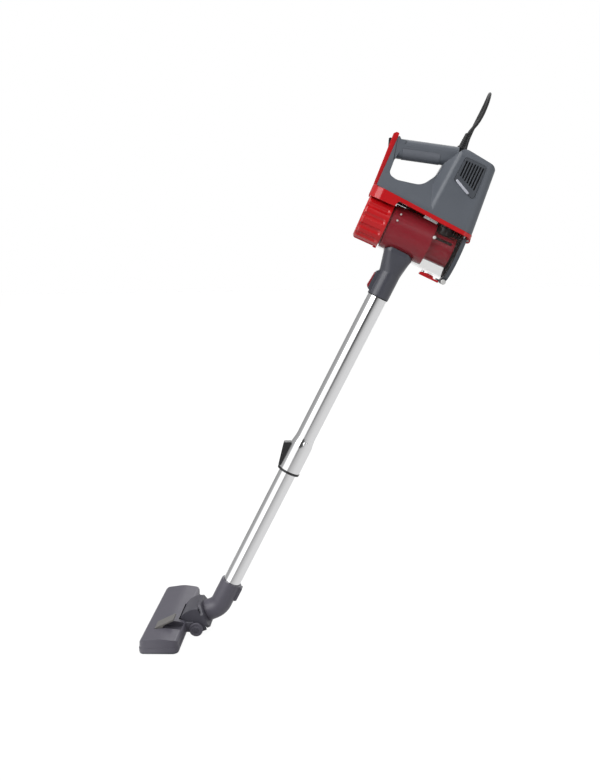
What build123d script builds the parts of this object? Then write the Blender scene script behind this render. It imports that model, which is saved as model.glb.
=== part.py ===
from build123d import *
import os
from math import cos, pi, radians, sin

# A corded stick vacuum cleaner: a hand unit with motor and dust cup, a telescopic wand and a wheeled floor
# head.
# Millimetres. +Z is up and -X is the way it faces. The origin is on the floor, under the middle of the
# floor head.

# Pose: how far the wand and the hand unit lean from the vertical, and how far the neck rises from the
# floor.
WAND_LEAN = 27.5
HAND_LEAN = 25.0
NECK_PITCH = 22.5

# Clearances: running fits, pieces laid on each other across a curve, and gaps that are seen.
RUN = 0.05
LAID = 0.15
SEAM = 0.3
WALL = 2.5

# Floor head.
HEAD_WIDTH = 262.0
HEAD_DEPTH = 66.0
HEAD_TOP = 27.0
HEAD_CROWN = 4.5
HEAD_NOSE = 2.0
SKIRT_TOP = 14.0
SKIRT_PROUD = 1.0
SOLE_HEIGHT = 4.0
SOLE_THICK = 2.5
WHEEL_RADIUS = 12.5
WHEEL_WIDE = 5.0
AXLE_RADIUS = 2.5
AXLE_BEHIND = 19.0
DRUM_RADIUS = 35.0
DRUM_HALF = 36.0
LUG_THICK = 4.0
MOUTH_FRONT = 3.0
MOUTH_REAR = 13.0
MOUTH_HALF = 100.0
BRUSH_ROWS = (-20.0, -7.0)
BRUSH_HALF = 108.0
BRUSH_LIFT = 4.5
STRANDS_ROW = 100
STRAND_SIDE = 0.8
PEDAL_FRONT = -15.0
PEDAL_LONG = 36.0
PEDAL_WIDE = 30.0
PEDAL_MIDDLE = -65.0
PEDAL_TILT = 25.0
PEDAL_AXLE = 1.5

# Neck and elbow.
NECK_BACK = 15.0
NECK_LIFT = 19.0
NECK_LEG = 24.2
ELBOW_LEG = 53.2
ELBOW_RADIUS = 19.5
ELBOW_BEND = 28.0
SPIGOT_RADIUS = 16.95
SPIGOT_LONG = 13.0
FLANGE_THICK = 6.0
FLANGE_LOW = 22.5

# Wand.
UPPER_RADIUS = 17.5
LOWER_RADIUS = 16.0
TUBE_WALL = 1.0
WAND_LONG = 588.3
SOCKET_DEEP = 40.0
CONNECTOR_DEEP = 43.0
COLLAR_TOP = -283.0
COLLAR_LOW = -350.0
COLLAR_RADIUS = 20.0
COLLAR_FLARE = 13.0
RING_LONG = 3.5
RING_RADIUS = 21.0
LOWER_TOP = -170.0
GROOVE_HALF = 3.4
GROOVE_DEEP = 1.6
NOTCH_PITCH = 19.5
NOTCH_COUNT = 18

# Connector between the wand and the dust cup.
SLEEVE_RADIUS = 19.3
HOOD_LONG = 52.0
HOOD_WIDE = 60.0
HOOD_LOW = 45.0
HOOD_HIGH = 79.0
AIR_RADIUS = 14.5

# Hand unit, along the cup (u, to the rear) and up (w), from the middle of the connector's rim.
HALF = 44.0
HANDLE_HALF = 17.0
HANDLE_TALL = 33.0
HANDLE_RISE = 15.9
FRONT_U = -82.0
REAR_U = 100.0
REAR_TOP_U = 88.5
HOUSING_TOP = 283.5
SEAT_FRONT = 170.0
SEAT_REAR = 159.0
SWITCH_W = 245.0
TRIM = 7.0
CUP_AXIS = 118.0
CUP_FRONT_U = -38.5
CUP_REAR_U = 87.0
CUP_FRONT_R = 42.0
CUP_REAR_R = 46.0
CUP_WALL = 2.2
SPIGOT_CUP_R = 38.0
CAP_FRONT_U = -84.5
CAP_RADIUS = 42.5
FLUTES = 14
DOOR_THICK = 7.0
SEAL_THICK = 1.2
HINGE_U = 99.5
HINGE_W = 148.5
PIN_RADIUS = 2.0
LATCH_U = 66.0
LATCH_W = 69.0
MOTOR_U = 58.0
MOTOR_RADIUS = 30.0
SHAFT_RADIUS = 4.0
CASE_LOW = 186.0
CASE_HIGH = HOUSING_TOP - 31.5

# Mains cord: a free lead from the boot, then the put-away length in a coil behind the housing.
CORD = 6.0
COIL_PITCH = 6.5
COIL_INNER = 25.0
COIL_LAYERS = 4
COIL_TURNS = 4.625
COIL_U = 41.0
COIL_W = 157.0
COIL_GAP = 47.6
COIL_TAIL = 70.0
PLUG_LONG = 40.0
PLUG_WIDE = 34.0
PLUG_THICK = 14.0

os.makedirs("parts", exist_ok=True)
pieces = {}


def outline(points, radii=0):
    """A flat closed outline with its corners rounded."""
    return make_face(FilletPolyline(*points, radius=radii, close=True))


def slab(shape, low, high):
    """An outline drawn in X and Z, from one Y to another."""
    return Pos(0, high, 0) * extrude(Plane.XZ * shape, amount=high - low)


def rod(x, z, radius, low, high):
    """A round bar along Y."""
    return slab(Pos(x, z) * Circle(radius), low, high)


def post(x, y, low, high, radius, hole=0.0):
    """A round bar or sleeve along Z."""
    base = Pos(x, y) * Circle(radius)
    if hole:
        base = base - Pos(x, y) * Circle(hole)
    return Pos(0, 0, low) * extrude(base, amount=high - low)


def barrel(low, high, radius, z, end=None):
    """A round bar, or a cone, along X at a height."""
    top = radius if end is None else end
    bar = Cone(radius, top, high - low, align=(Align.CENTER, Align.CENTER, Align.MIN)) \
        if top != radius else Cylinder(radius, high - low, align=(Align.CENTER, Align.CENTER, Align.MIN))
    return Pos(low, 0, z) * Rot(0, 90, 0) * bar


def cross(shape, low, high):
    """An outline drawn in Y and Z, from one X to another."""
    return Pos(low, 0, 0) * extrude(Plane.YZ * shape, amount=high - low)


def brick(x0, x1, y0, y1, z0, z1):
    """A plain block between two corners."""
    return Pos((x0 + x1) / 2, (y0 + y1) / 2, (z0 + z1) / 2) * Box(x1 - x0, y1 - y0, z1 - z0)


def inset(shape, amount):
    """An outline drawn in by a wall's thickness."""
    return offset(shape, -amount, kind=Kind.INTERSECTION) if amount else shape


# Places of the four frames: floor head, neck, wand and hand unit.
axle_x = HEAD_DEPTH / 2 + AXLE_BEHIND
neck_x = axle_x + NECK_BACK
neck_z = WHEEL_RADIUS + NECK_LIFT
bend_x = neck_x + NECK_LEG * cos(radians(NECK_PITCH))
bend_z = neck_z + NECK_LEG * sin(radians(NECK_PITCH))
socket_x = bend_x + ELBOW_LEG * sin(radians(WAND_LEAN))
socket_z = bend_z + ELBOW_LEG * cos(radians(WAND_LEAN))
rim_x = socket_x + WAND_LONG * sin(radians(WAND_LEAN))
rim_z = socket_z + WAND_LONG * cos(radians(WAND_LEAN))
neck_place = Location((neck_x, 0, neck_z), (0, -NECK_PITCH, 0))
wand_place = Location((rim_x, 0, rim_z), (0, WAND_LEAN, 0))
hand_place = Location((rim_x, 0, rim_z), (0, HAND_LEAN, 0))


def in_hand(name, shape):
    pieces[name] = hand_place * shape


def in_wand(name, shape):
    pieces[name] = wand_place * shape


def in_neck(name, shape):
    pieces[name] = neck_place * shape


def seat(u):
    """Height of the sloping seat between the housing and the red cradle."""
    return SEAT_FRONT + (u - FRONT_U) * (SEAT_REAR - SEAT_FRONT) / (REAR_U - FRONT_U)


# Housing: the front with its post and panel, the handle bar and the motor bulge, each drawn in by the same
# wall.
handle_mid = Vector(-45, 0, SWITCH_W + 5)
handle_turn = Rot(0, 90 - HANDLE_RISE, 0)


def handle_bar(wall, start=-33.0, end=72.0, corner=12.0):
    section = RectangleRounded(HANDLE_TALL - 2 * wall, 2 * (HANDLE_HALF - wall), corner - wall)
    return Pos(*handle_mid) * handle_turn * Pos(0, 0, start + wall) * extrude(
        section, amount=end - start - 2 * wall
    )


def housing_form(wall, drop=0.0):
    front = outline(
        [
            (FRONT_U, SEAT_FRONT - drop), (FRONT_U, SWITCH_W + 18), (-76, SWITCH_W + 12),
            (-66, SWITCH_W + 13), (-72, 221), (-70.5, 195), (-55, 191.5), (-31, 196.5),
            (-12, 201), (4, 226.5), (6.5, 248.5), (28, HOUSING_TOP), (40, HOUSING_TOP), (40, seat(40) - drop),
        ],
        [0, 2, 3, 0, 0, 9, 20, 20, 26, 20, 4, 0, 0, 0],
    )
    flare = outline(
        [
            (-HALF, 120), (HALF, 120), (HALF, 172), (HANDLE_HALF, 224), (HANDLE_HALF, 300),
            (-HANDLE_HALF, 300), (-HANDLE_HALF, 224), (-HALF, 172),
        ],
        [0, 0, 18, 45, 0, 0, 45, 18],
    )
    front_part = slab(inset(front, wall), -60, 60) & cross(inset(flare, wall), -120, 120)
    side = outline(
        [
            (0, seat(0) - drop), (8, 249), (27, HOUSING_TOP + 1), (REAR_TOP_U + 3, HOUSING_TOP - 7.5),
            (REAR_U + 3, SEAT_REAR - drop),
        ],
        [0, 0, 14, 18, 0],
    )
    flank = outline(
        [(-8, -14), (15, -HALF), (150, -HALF), (150, HALF), (15, HALF), (-8, 14)], [3, 12, 0, 0, 12, 3]
    )
    flank_prism = Pos(0, 0, 140) * extrude(inset(flank, wall), amount=180, dir=(0.06, 0, 1))
    slant = (REAR_U - REAR_TOP_U) / (HOUSING_TOP - SEAT_REAR)
    foot_u = REAR_U + (SEAT_REAR - 120) * slant
    plan = outline([(-60, -HALF), (foot_u, -HALF), (foot_u, HALF), (-60, HALF)], [0, 17, 17, 0])
    plan_prism = Pos(0, 0, 120) * extrude(inset(plan, wall), amount=220, dir=(-slant, 0, 1))
    brow_top = HOUSING_TOP + 2
    brow = outline([(-HALF, 120), (HALF, 120), (HALF, brow_top), (-HALF, brow_top)], [0, 0, 15, 15])
    bulge = slab(inset(side, wall), -60, 60) & flank_prism & plan_prism & cross(
        inset(brow, wall), -120, 160
    )
    return front_part + handle_bar(wall) + bulge


shell = housing_form(0) - housing_form(WALL, 2 * WALL)
grip_zone = Pos(*handle_mid) * handle_turn * Pos(12, 0, 10) * Box(24, 60, 64)
grip = (handle_bar(-0.6, -33, 72, 12.0) - handle_bar(WALL)) & grip_zone
shell = shell - (handle_bar(-1.0) & grip_zone)

# Shallow groove between the front post and the handle, on both sides.
GROOVE_WIDE = 1.4
GROOVE_SUNK = 1.1
groove_top = (-82.5, SWITCH_W + 12)
groove_foot = (-73.0, 219.5)
groove_side = [(foot[0] + GROOVE_WIDE, foot[1]) for foot in (groove_foot, groove_top)]
groove = outline([groove_top, groove_foot] + groove_side)
for low, high in ((-HALF, -HANDLE_HALF + GROOVE_SUNK), (HANDLE_HALF - GROOVE_SUNK, HALF)):
    shell = shell - slab(groove, low, high)

# Vent windows in both sides, each with its raised slatted grille.
vent_top = HOUSING_TOP - 13
vent_quad = [(34.5, vent_top), (72.5, vent_top - 1), (75, vent_top - 59), (32, vent_top - 41)]
vent_window = outline(vent_quad, [4, 4, 4, 4])
shell = shell - slab(inset(vent_window, -SEAM), -60, 60)
SLAT_PITCH = 5.0
SLAT_GAP = 2.6
grille_plate = vent_window
slot_count = 7
for index in range(slot_count):
    slot_u = 39.0 + index * SLAT_PITCH
    foot = vent_top - 32.0 - (slot_u - 39.0) * 0.42
    head = vent_top - 5.0
    grille_plate = grille_plate - Pos(slot_u, (foot + head) / 2) * RectangleRounded(
        SLAT_GAP, head - foot, 1.2
    )
for name, low, high in (
    ("vent_grille_left", -HALF - 1.5, -HALF + WALL), ("vent_grille_right", HALF - WALL, HALF + 1.5)
):
    in_hand(name, slab(grille_plate, low, high))

# Screw posts across the housing, with the screws driven in from the far side.
SCREW_PLACES = ((-60.0, 181.0), (26.0, HOUSING_TOP - 17), (93.0, 178.0), (82.0, HOUSING_TOP - 19))
SCREW_RADIUS = 1.6
HEAD_RADIUS = 3.0
HEAD_SUNK = 12.0
inner_room = housing_form(0.6 * WALL)
for screw_u, screw_w in SCREW_PLACES:
    shell = shell + (rod(screw_u, screw_w, 4.5, -HALF, HALF) & inner_room)
screws = []
for screw_u, screw_w in SCREW_PLACES:
    shell = shell - rod(screw_u, screw_w, SCREW_RADIUS + RUN, -HEAD_SUNK, HEAD_SUNK)
    shell = shell - rod(screw_u, screw_w, HEAD_RADIUS + LAID, HEAD_SUNK, HALF + WALL)
    shank = rod(screw_u, screw_w, SCREW_RADIUS, -HEAD_SUNK + 1, HEAD_SUNK)
    screws.append(shank + rod(screw_u, screw_w, HEAD_RADIUS, HEAD_SUNK, HEAD_SUNK + 2.5))

# Boot seat on the top of the housing, and the switch window in its front wall.
BOOT_U = 24.0
BOOT_W = HOUSING_TOP - 0.5
BOOT_RADIUS = 5.0
shell = shell - post(BOOT_U, 0, BOOT_W - 12, BOOT_W + 12, BOOT_RADIUS + RUN)
shell = shell - brick(
    FRONT_U - 1, FRONT_U + WALL + 1, -7 - LAID, 7 + LAID, SWITCH_W - 8 - LAID, SWITCH_W + 8 + LAID
)
in_hand("housing_left", split(shell, bisect_by=Plane.XZ, keep=Keep.TOP))
in_hand("housing_right", split(shell, bisect_by=Plane.XZ, keep=Keep.BOTTOM))
in_hand("handle_grip", grip)
in_hand("housing_screws", Compound(children=screws))

# Red front spine, a strip down the front of the post, with the pocket and pivot holes of the power switch.
SPINE_U = -91.5
SPINE_TOP = SWITCH_W + 20
SWITCH_DEEP = 6.4
ROCKER_HALF = 6.0
ROCKER_U = -86.0
ROCKER_PIN = 1.5
spine_side = outline(
    [
        (FRONT_U, SEAT_FRONT + 0.6), (FRONT_U, SPINE_TOP), (SPINE_U + 4, SPINE_TOP),
        (SPINE_U, SPINE_TOP - 4), (SPINE_U + 4, SEAT_FRONT + 0.6),
    ],
    [0, 2, 2, 2, 0],
)
spine_over = SPINE_TOP + 15
spine_front = outline(
    [(-24, 150), (24, 150), (13, 222), (12, spine_over), (-12, spine_over), (-13, 222)],
    [0, 0, 60, 0, 0, 60],
)
spine = slab(spine_side, -30, 30) & cross(spine_front, -120, 0)
pocket_low = SWITCH_W - 12
pocket_high = SWITCH_W + 12
pocket_rear = [(SPINE_U - 8, pocket_low), (SPINE_U - 8, pocket_high)]
pocket = outline(pocket_rear + [(FRONT_U + 1, pocket_high), (FRONT_U + 1, pocket_low)])
spine = spine - slab(pocket, -ROCKER_HALF - SEAM, ROCKER_HALF + SEAM)
spine = spine - rod(ROCKER_U, SWITCH_W, ROCKER_PIN + RUN, -ROCKER_HALF - 2.5, ROCKER_HALF + 2.5)
in_hand("front_spine", spine)
rocker_points = [(7.5, -6.5), (2, -9.5), (-4, 6.5), (-1, 8.5), (7.5, 6)]
rocker_side = outline([(SPINE_U + u, SWITCH_W + w) for u, w in rocker_points], 0.8)
rocker = slab(rocker_side, -ROCKER_HALF, ROCKER_HALF)
in_hand("power_switch", rocker + rod(ROCKER_U, SWITCH_W, ROCKER_PIN, -ROCKER_HALF - 2, ROCKER_HALF + 2))
in_hand("switch_box", brick(FRONT_U + 0.4, FRONT_U + 0.4 + SWITCH_DEEP, -7, 7, SWITCH_W - 8, SWITCH_W + 8))

# Red cradle under the housing, which the cup hangs in: its edge is the red trim strip along both sides.
CRADLE_FRONT = -87.5
CRADLE_REAR = 101.0
SADDLE_DROP = 10.5
SADDLE_GAP = 0.6
CRADLE_LIP = 0.8
EAR_INNER = 11.5
EAR_OUTER = 16.0
KNUCKLE = 4.2
cap_top = CUP_AXIS + CAP_RADIUS
cradle_side = outline(
    [
        (CRADLE_FRONT, cap_top - SADDLE_DROP), (CRADLE_FRONT, seat(CRADLE_FRONT)), (
            CRADLE_REAR, seat(CRADLE_REAR)
        ),
        (CRADLE_REAR, seat(CRADLE_REAR) - TRIM), (CUP_FRONT_U + 2, seat(CUP_FRONT_U) - TRIM),
        (CUP_FRONT_U - 1, cap_top - SADDLE_DROP),
    ],
    [2, 0, 1, 1, 1, 1],
)
cradle_plan = outline(
    [
        (CRADLE_FRONT, -HALF - CRADLE_LIP), (CRADLE_REAR, -HALF - CRADLE_LIP), (
            CRADLE_REAR, HALF + CRADLE_LIP
        ),
        (CRADLE_FRONT, HALF + CRADLE_LIP),
    ],
    [24, 17, 17, 24],
)
cradle = slab(cradle_side, -60, 60) & Pos(0, 0, 120) * extrude(cradle_plan, amount=80)
cradle = cradle - barrel(CRADLE_FRONT - 1, CUP_FRONT_U + 3, CAP_RADIUS + SADDLE_GAP, CUP_AXIS)
ear_side = outline(
    [(CRADLE_REAR - 6, seat(CRADLE_REAR) - 1), (CRADLE_REAR - 6, seat(CRADLE_REAR) - TRIM + 2), (
        HINGE_U, HINGE_W - KNUCKLE
    ),
     (HINGE_U + KNUCKLE, HINGE_W), (CRADLE_REAR + 1, seat(CRADLE_REAR) - 1)],
) + Pos(HINGE_U, HINGE_W) * Circle(KNUCKLE)
door_room = brick(
    80, CUP_REAR_U + SEAL_THICK + DOOR_THICK + 0.6, -60, 60, 100, seat(CRADLE_REAR) - TRIM + 1
)
for low, high in ((-EAR_OUTER, -EAR_INNER), (EAR_INNER, EAR_OUTER)):
    cradle = cradle + (slab(ear_side, low, high) - door_room)
cradle = cradle - rod(HINGE_U, HINGE_W, PIN_RADIUS, -EAR_OUTER - 1, EAR_OUTER + 1)
cradle = cradle - rod(HINGE_U, HINGE_W, KNUCKLE + SEAM, -EAR_INNER, EAR_INNER)
cradle = cradle - post(MOTOR_U, 0, 120, 200, AIR_RADIUS)
in_hand("cup_cradle", cradle)
in_hand("door_hinge_pin", rod(HINGE_U, HINGE_W, PIN_RADIUS, -EAR_OUTER, EAR_OUTER))

# Clear dust cup: a tapered round cup with a flat roof under the cradle, a spigot for the cap ring and latch
# ears.
ROOF_GAP = 0.3
roof_line = [
    (-120, seat(-120) - TRIM - ROOF_GAP), (120, seat(120) - TRIM - ROOF_GAP), (120, 20), (-120, 20),
]


def cup_radius(u):
    return CUP_FRONT_R + (u - CUP_FRONT_U) * (CUP_REAR_R - CUP_FRONT_R) / (CUP_REAR_U - CUP_FRONT_U)


def under_roof(shape, lower=0.0):
    """Trim a round shape flat, parallel to the cradle."""
    return shape & slab(outline([(u, w - lower) if w > 20 else (u, w) for u, w in roof_line]), -80, 80)


FLANGE_RADIUS = CUP_REAR_R + 1.8
EAR_LATCH_INNER = 9.5
EAR_LATCH_OUTER = 12.0
SPIGOT_END_U = CAP_FRONT_U + 5.0
cup = barrel(CUP_FRONT_U, CUP_REAR_U, CUP_FRONT_R, CUP_AXIS, CUP_REAR_R)
cup = cup + barrel(CUP_REAR_U - 4, CUP_REAR_U, FLANGE_RADIUS, CUP_AXIS)
cup_outside = cup
cup = under_roof(cup)
latch_ear = outline(
    [(LATCH_U - 5, LATCH_W + 12), (LATCH_U - 4, LATCH_W - 2), (LATCH_U, LATCH_W - 4), (
        LATCH_U + 4, LATCH_W - 2
    ),
     (LATCH_U + 5, LATCH_W + 12)],
    [0, 2, 2, 2, 0],
)
for low, high in ((-EAR_LATCH_OUTER, -EAR_LATCH_INNER), (EAR_LATCH_INNER, EAR_LATCH_OUTER)):
    cup = cup + slab(latch_ear, low, high)
cup = cup + barrel(SPIGOT_END_U, CUP_FRONT_U + 1, SPIGOT_CUP_R, CUP_AXIS)
cup_inside = barrel(
    CUP_FRONT_U + CUP_WALL, CUP_REAR_U + 1, cup_radius(CUP_FRONT_U + CUP_WALL) - CUP_WALL, CUP_AXIS,
    CUP_REAR_R - CUP_WALL,
)
cup = cup - under_roof(cup_inside, CUP_WALL)
cup = cup - barrel(SPIGOT_END_U - 1, CUP_FRONT_U + CUP_WALL + 1, SPIGOT_CUP_R - CUP_WALL, CUP_AXIS)
cup = cup - post(MOTOR_U, 0, CUP_AXIS, 200, AIR_RADIUS)
cup = cup - rod(LATCH_U, LATCH_W, ROCKER_PIN + RUN, -EAR_LATCH_OUTER - 1, EAR_LATCH_OUTER + 1)
inlet = wand_place * post(0, 0, HOOD_LOW, CUP_AXIS - 20, AIR_RADIUS)
pieces["dust_cup"] = hand_place * cup - inlet

# Red fluted cap ring that twists on the cup's spigot, and the rubber seal in its bottom.
FLUTE_RADIUS = 7.5
FLUTE_DEEP = 2.6
FLUTE_START = CAP_FRONT_U + 6.0
FLUTE_END = CUP_FRONT_U - 9.0
CAP_END_U = CUP_FRONT_U - SEAM
cap = barrel(CAP_FRONT_U, CAP_END_U, CAP_RADIUS, CUP_AXIS)
cap = fillet(cap.edges().filter_by(GeomType.CIRCLE).sort_by(Axis.X)[0], 6.0)
flute_offset = CAP_RADIUS + FLUTE_RADIUS - FLUTE_DEEP
flute = Pos(FLUTE_START, 0, flute_offset) * Rot(0, 90, 0) * Cylinder(
    FLUTE_RADIUS, FLUTE_END - FLUTE_START, align=(Align.CENTER, Align.CENTER, Align.MIN)
)
flute = flute + [Pos(end, 0, flute_offset) * Sphere(FLUTE_RADIUS) for end in (FLUTE_START, FLUTE_END)]
flutes = [Pos(0, 0, CUP_AXIS) * Rot(360 / FLUTES * (index + 0.5), 0, 0) * flute for index in range(FLUTES)]
cap = cap - flutes
cap = cap - barrel(CAP_FRONT_U + 3, CAP_END_U + 1, SPIGOT_CUP_R + LAID, CUP_AXIS)
cap = cap - barrel(CAP_FRONT_U - 1, CAP_FRONT_U + 1.2, CAP_RADIUS - 12, CUP_AXIS)
cap_tab = brick(CAP_END_U - 6, CAP_END_U, -5, 5, CUP_AXIS - CAP_RADIUS - 1.8, CUP_AXIS - CAP_RADIUS + 1.5)
in_hand("cap_ring", cap + cap_tab)
seal = barrel(CAP_FRONT_U + 3 + RUN, SPIGOT_END_U, SPIGOT_CUP_R - 0.3, CUP_AXIS)
in_hand("cap_seal", seal - barrel(CAP_FRONT_U, SPIGOT_END_U + 1, SPIGOT_CUP_R - 5, CUP_AXIS))

# Red inner frame: a neck in the spigot, a drum that fills the cup's front, and a slotted cage for the
# pleated filter.
DRUM_CUP_R = CUP_FRONT_R - CUP_WALL - 1.0
DRUM_REAR_U = 42.0
CAGE_RADIUS = 27.0
CAGE_REAR_U = CUP_REAR_U - 4.0
FRAME_WALL = 2.0
frame_form = barrel(SPIGOT_END_U + 1, CUP_FRONT_U + CUP_WALL + 1, SPIGOT_CUP_R - CUP_WALL - LAID, CUP_AXIS)
frame_form = frame_form + under_roof(
    barrel(CUP_FRONT_U + CUP_WALL + SEAM, DRUM_REAR_U, DRUM_CUP_R, CUP_AXIS), CUP_WALL + 0.6
)
frame_form = frame_form + barrel(DRUM_REAR_U - 1, CAGE_REAR_U, CAGE_RADIUS, CUP_AXIS)
frame_room = barrel(
    SPIGOT_END_U, CUP_FRONT_U + CUP_WALL + 4, SPIGOT_CUP_R - CUP_WALL - LAID - FRAME_WALL, CUP_AXIS
)
frame_room = frame_room + under_roof(
    barrel(
        CUP_FRONT_U + CUP_WALL + SEAM + FRAME_WALL, DRUM_REAR_U - FRAME_WALL, DRUM_CUP_R - FRAME_WALL,
        CUP_AXIS,
    ),
    CUP_WALL + 0.6 + FRAME_WALL,
)
frame_room = frame_room + barrel(
    DRUM_REAR_U - FRAME_WALL - 1, CAGE_REAR_U - FRAME_WALL, CAGE_RADIUS - FRAME_WALL, CUP_AXIS
)
frame = frame_form - frame_room
CAGE_SLOTS = 12
slot = Pos((DRUM_REAR_U + CAGE_REAR_U) / 2, 0, CAGE_RADIUS) * Box(CAGE_REAR_U - DRUM_REAR_U - 12, 6, 12)
cage_slots = [
    Pos(0, 0, CUP_AXIS) * Rot(360 / CAGE_SLOTS * index, 0, 0) * slot for index in (-2, -1, 0, 1, 2)
]
frame = frame - cage_slots
pieces["filter_frame"] = hand_place * frame - inlet
PLEATS = 24
pleat_outer = CAGE_RADIUS - FRAME_WALL - RUN
pleat_inner = pleat_outer - 6.0
pleat_points = []
for index in range(2 * PLEATS):
    reach = pleat_outer if index % 2 == 0 else pleat_inner
    turn = pi * index / PLEATS
    pleat_points.append((reach * cos(turn), CUP_AXIS + reach * sin(turn)))
pleats = make_face(Polyline(*pleat_points, close=True)) - Pos(0, CUP_AXIS) * Circle(pleat_inner - 4)
in_hand("filter_element", cross(pleats, DRUM_REAR_U, CAGE_REAR_U - FRAME_WALL))

# Grey rear door on its hinge under the cradle, with its seal, its round bottom bead and the latch's tongue.
DOOR_U = CUP_REAR_U + SEAL_THICK
DOOR_DROP = 3.0
BEAD_RADIUS = 4.5
BEAD_HALF = 20.0
BEAD_U = DOOR_U + 2.5
BEAD_W = CUP_AXIS - FLANGE_RADIUS - 1.5
TONGUE_HALF = 8.0
TOOTH_HALF = 5.5
door = under_roof(barrel(DOOR_U, DOOR_U + DOOR_THICK, FLANGE_RADIUS, CUP_AXIS), DOOR_DROP)
door = door - under_roof(
    barrel(DOOR_U - 1, DOOR_U + DOOR_THICK - WALL, FLANGE_RADIUS - 6, CUP_AXIS), DOOR_DROP + 6
)
door_web = outline(
    [
        (DOOR_U + DOOR_THICK - 3, HINGE_W - 8), (DOOR_U + DOOR_THICK - 3, HINGE_W - 2), (HINGE_U, HINGE_W),
        (HINGE_U + 3, HINGE_W - 3),
    ]
) + Pos(HINGE_U, HINGE_W) * Circle(KNUCKLE)
door = door + slab(door_web, -EAR_INNER + SEAM, EAR_INNER - SEAM)
door = door - rod(HINGE_U, HINGE_W, PIN_RADIUS + RUN, -EAR_OUTER, EAR_OUTER)
bead = rod(BEAD_U, BEAD_W, BEAD_RADIUS, -BEAD_HALF, BEAD_HALF)
door = door + (bead - brick(0, DOOR_U, -60, 60, 0, 200))
TONGUE_LOW = BEAD_W - 1.5
TONGUE_HIGH = BEAD_W + 1.0
TOOTH_FRONT = CUP_REAR_U - 5.5
TOOTH_REAR = CUP_REAR_U - 3.0
tongue = brick(CUP_REAR_U - 8, BEAD_U, -TONGUE_HALF, TONGUE_HALF, TONGUE_LOW, TONGUE_HIGH)
door = door + tongue
door = door - brick(
    TOOTH_FRONT - 0.5, TOOTH_REAR + 0.5, -TOOTH_HALF - SEAM, TOOTH_HALF + SEAM, TONGUE_LOW - 1,
    TONGUE_HIGH + 1,
)
in_hand("cup_door", door)
door_seal = under_roof(barrel(CUP_REAR_U, DOOR_U, FLANGE_RADIUS - 0.5, CUP_AXIS), DOOR_DROP + 0.5)
in_hand(
    "door_seal",
    door_seal - under_roof(barrel(CUP_REAR_U - 1, DOOR_U + 1, FLANGE_RADIUS - 5, CUP_AXIS), DOOR_DROP + 5),
)

# Red door latch: a lever under the cup, with a tooth up through the door's tongue, its pins and its spring.
LATCH_FRONT_U = 47.0
lever_side = outline(
    [
        (LATCH_FRONT_U, LATCH_W - 0.5), (LATCH_FRONT_U + 1, LATCH_W - 5), (TOOTH_REAR, TONGUE_LOW - 4),
        (TOOTH_REAR, TONGUE_LOW - SEAM), (TOOTH_FRONT - 8, TONGUE_LOW - SEAM), (LATCH_U + 6, LATCH_W + 1.5),
        (LATCH_U - 4, LATCH_W + 2.5),
    ],
    [1.5, 2, 1, 0, 1, 2, 2],
)
lever = slab(lever_side, -EAR_LATCH_INNER + SEAM, EAR_LATCH_INNER - SEAM)
lever = lever + brick(TOOTH_FRONT, TOOTH_REAR, -TOOTH_HALF, TOOTH_HALF, TONGUE_LOW - 2, TONGUE_HIGH - 0.2)
lever = lever + rod(LATCH_U, LATCH_W, ROCKER_PIN, -EAR_LATCH_OUTER, EAR_LATCH_OUTER)
spring_u = LATCH_FRONT_U + 6
spring_low = LATCH_W - 0.8
lever = lever - post(spring_u, 0, spring_low, CUP_AXIS, 3.4)
in_hand("door_latch", lever)
latch_spring = post(spring_u, 0, spring_low, CUP_AXIS, 2.6, 1.7) - cup_outside
in_hand("latch_spring", latch_spring)

# Motor, on its own axis across the cup: rubber cushion, fan cover, case, bearings, rotor, brushes and
# terminals.
COVER_LOW = 164.0
PLATE = 3.0
BEARING_RADIUS = 9.0
BEARING_TALL = 5.0
ARMATURE_RADIUS = 21.0
COMMUTATOR_RADIUS = 10.0
BLADES = 8
FOAM_THICK = 5.0


def on_motor(low, high, radius, hole=0.0):
    return post(MOTOR_U, 0, low, high, radius, hole)


above_seat = slab(outline([(-100, seat(-100)), (120, seat(120)), (120, 300), (-100, 300)]), -60, 60)
in_hand("motor_cushion", on_motor(SEAT_REAR - 10, COVER_LOW, MOTOR_RADIUS - 1, AIR_RADIUS + 2) & above_seat)
cover = on_motor(COVER_LOW, CASE_LOW, MOTOR_RADIUS) - on_motor(COVER_LOW + 2, CASE_LOW, MOTOR_RADIUS - 2)
in_hand("fan_cover", cover - on_motor(COVER_LOW - 1, COVER_LOW + 3, AIR_RADIUS + 1.5))
fan_high = CASE_LOW - 5.0
fan_low = COVER_LOW + 4.0
fan = on_motor(fan_high - 1.5, fan_high, MOTOR_RADIUS - 4, SHAFT_RADIUS) + on_motor(
    fan_low, fan_high, 7, SHAFT_RADIUS
)
blade = Pos(16, 0, (fan_low + fan_high) / 2) * Rot(0, 0, 35) * Box(17, 1.2, fan_high - fan_low - 1)
fan = fan + [Pos(MOTOR_U, 0, 0) * Rot(0, 0, 360 / BLADES * index) * blade for index in range(BLADES)]
in_hand("fan_impeller", fan)
case = on_motor(CASE_LOW, CASE_HIGH, MOTOR_RADIUS) - on_motor(
    CASE_LOW + PLATE, CASE_HIGH - PLATE, MOTOR_RADIUS - WALL
)
case = case + on_motor(CASE_LOW, CASE_LOW + PLATE + BEARING_TALL, BEARING_RADIUS + 3)
case = case + on_motor(CASE_HIGH - PLATE - BEARING_TALL, CASE_HIGH, BEARING_RADIUS + 3)
case = case - on_motor(CASE_LOW - 1, CASE_LOW + PLATE + 1, SHAFT_RADIUS + 1)
lower_seat = CASE_LOW + PLATE
upper_seat = CASE_HIGH - PLATE - BEARING_TALL
case = case - on_motor(lower_seat, lower_seat + BEARING_TALL + 1, BEARING_RADIUS)
case = case - on_motor(upper_seat - 1, upper_seat + BEARING_TALL, BEARING_RADIUS)
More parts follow.
